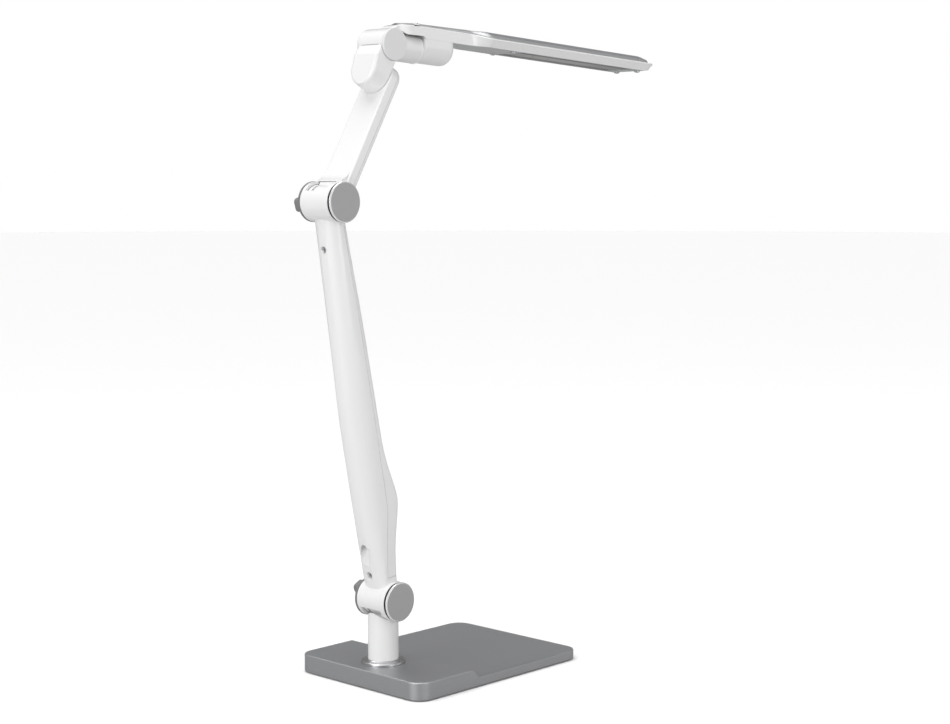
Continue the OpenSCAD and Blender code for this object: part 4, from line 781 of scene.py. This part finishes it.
def build_ribs():
    tree, given, result = new_geometry_tree("diffuser_ribs", {
        "Count": "Int", "First": "Vector", "Step": "Vector", "Length": "Float", "Radius": "Float",
        "Turn": "Rotation", "Finish": "Material"})
    line = put_node(tree, "GeometryNodeMeshLine", {
        "Count": given["Count"], "Start Location": given["First"], "Offset": given["Step"]},
        mode="OFFSET")
    rib = put_node(tree, "GeometryNodeMeshCylinder", {
        "Vertices": RIB_SIDES, "Radius": given["Radius"], "Depth": given["Length"]})
    ribs = instanced(tree, line.outputs["Mesh"], rib.outputs["Mesh"], given["Turn"])
    smooth = put_node(tree, "GeometryNodeSetShadeSmooth", {"Geometry": ribs}).outputs["Geometry"]
    whole = joined(tree, given["Geometry"], smooth)
    tree.links.new(with_material(tree, whole, given["Finish"]), result["Geometry"])
    return tree


def ribbed_diffuser():
    plate = merged_copy("diffuser", "diffuser_plate")
    first, last = extent("diffuser", HEAD_ALONG)
    low = extent("diffuser", HEAD_UP)[0]
    side, other_side = extent("diffuser", Vector((0, 1, 0)))
    count = int((other_side - side - 2 * RIB_EDGE) / RIB_PITCH) + 1
    outermost = Vector((0, -(count - 1) * RIB_PITCH / 2, 0))
    piece = baked("ribbed_diffuser", plate.data, build_ribs(), {
        "Count": count, "First": HEAD_ALONG * (first + last) / 2 + HEAD_UP * low + outermost,
        "Step": (0, RIB_PITCH, 0), "Length": last - first - 2 * RIB_EDGE, "Radius": RIB_R,
        "Turn": (0, math.pi / 2 + HEAD_PITCH, 0), "Finish": materials["diffuser"]})
    bpy.data.objects.remove(plate)
    return piece


stand_for(ribbed_diffuser(), "diffuser")

# %% [markdown]
# ### Studded pad
# Under the base lies a rubber pad. Its studs stand on the table, and between them the rubber is a
# little thinner, so that it grips and lets air out.

# %% Studded pad
STUD_PITCH = 6.0 * MM
STUD_R = 1.5 * MM
STUD_H = 0.3 * MM
STUD_SIDES = 12
PAD_EDGE = 4.5 * MM
PAD_FACE = 0.1 * MM


def build_studs():
    tree, given, result = new_geometry_tree("pad_studs", {
        "Size X": "Float", "Size Y": "Float", "Columns": "Int", "Rows": "Int", "Middle": "Vector",
        "Stud Radius": "Float", "Stud Height": "Float", "Finish": "Material"})
    grid = put_node(tree, "GeometryNodeMeshGrid", {
        "Size X": given["Size X"], "Size Y": given["Size Y"], "Vertices X": given["Columns"],
        "Vertices Y": given["Rows"]})
    stud = put_node(tree, "GeometryNodeMeshCylinder", {
        "Vertices": STUD_SIDES, "Radius": given["Stud Radius"], "Depth": given["Stud Height"]})
    places = moved(tree, grid.outputs["Mesh"], given["Middle"])
    studs = instanced(tree, places, stud.outputs["Mesh"], (0, 0, 0))
    whole = joined(tree, given["Geometry"], studs)
    tree.links.new(with_material(tree, whole, given["Finish"]), result["Geometry"])
    return tree


def studded_pad():
    pad = merged_copy("base_pad", "pad_plate")
    low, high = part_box("base_pad")
    for vertex in pad.data.vertices:
        if vertex.co.z < low[2] + PAD_FACE:
            vertex.co.z = low[2] + STUD_H
    size = [high[axis] - low[axis] - 2 * PAD_EDGE for axis in (0, 1)]
    columns, rows = (int(length / STUD_PITCH) + 1 for length in size)
    middle = ((low[0] + high[0]) / 2, (low[1] + high[1]) / 2, low[2] + STUD_H / 2)
    piece = baked("studded_pad", pad.data, build_studs(), {
        "Size X": (columns - 1) * STUD_PITCH, "Size Y": (rows - 1) * STUD_PITCH, "Columns": columns,
        "Rows": rows, "Middle": middle, "Stud Radius": STUD_R, "Stud Height": STUD_H,
        "Finish": materials["rubber"]})
    bpy.data.objects.remove(pad)
    return piece


stand_for(studded_pad(), "base_pad")

# %% [markdown]
# ## Materials for what is inside
# Screws, bolts, nuts, boards and leads keep their CAD meshes, because their shapes are right. They
# only get their finish.

# %% Inside pieces
for node, obj in frame["nodes"].items():
    if node not in dressed:
        obj.data.materials.clear()
        obj.data.materials.append(materials[slot_of[node]])
print("plain pieces", len(frame["nodes"]) - len(dressed))

# %% [markdown]
# ## Finish

# %% Finish
print("finished")
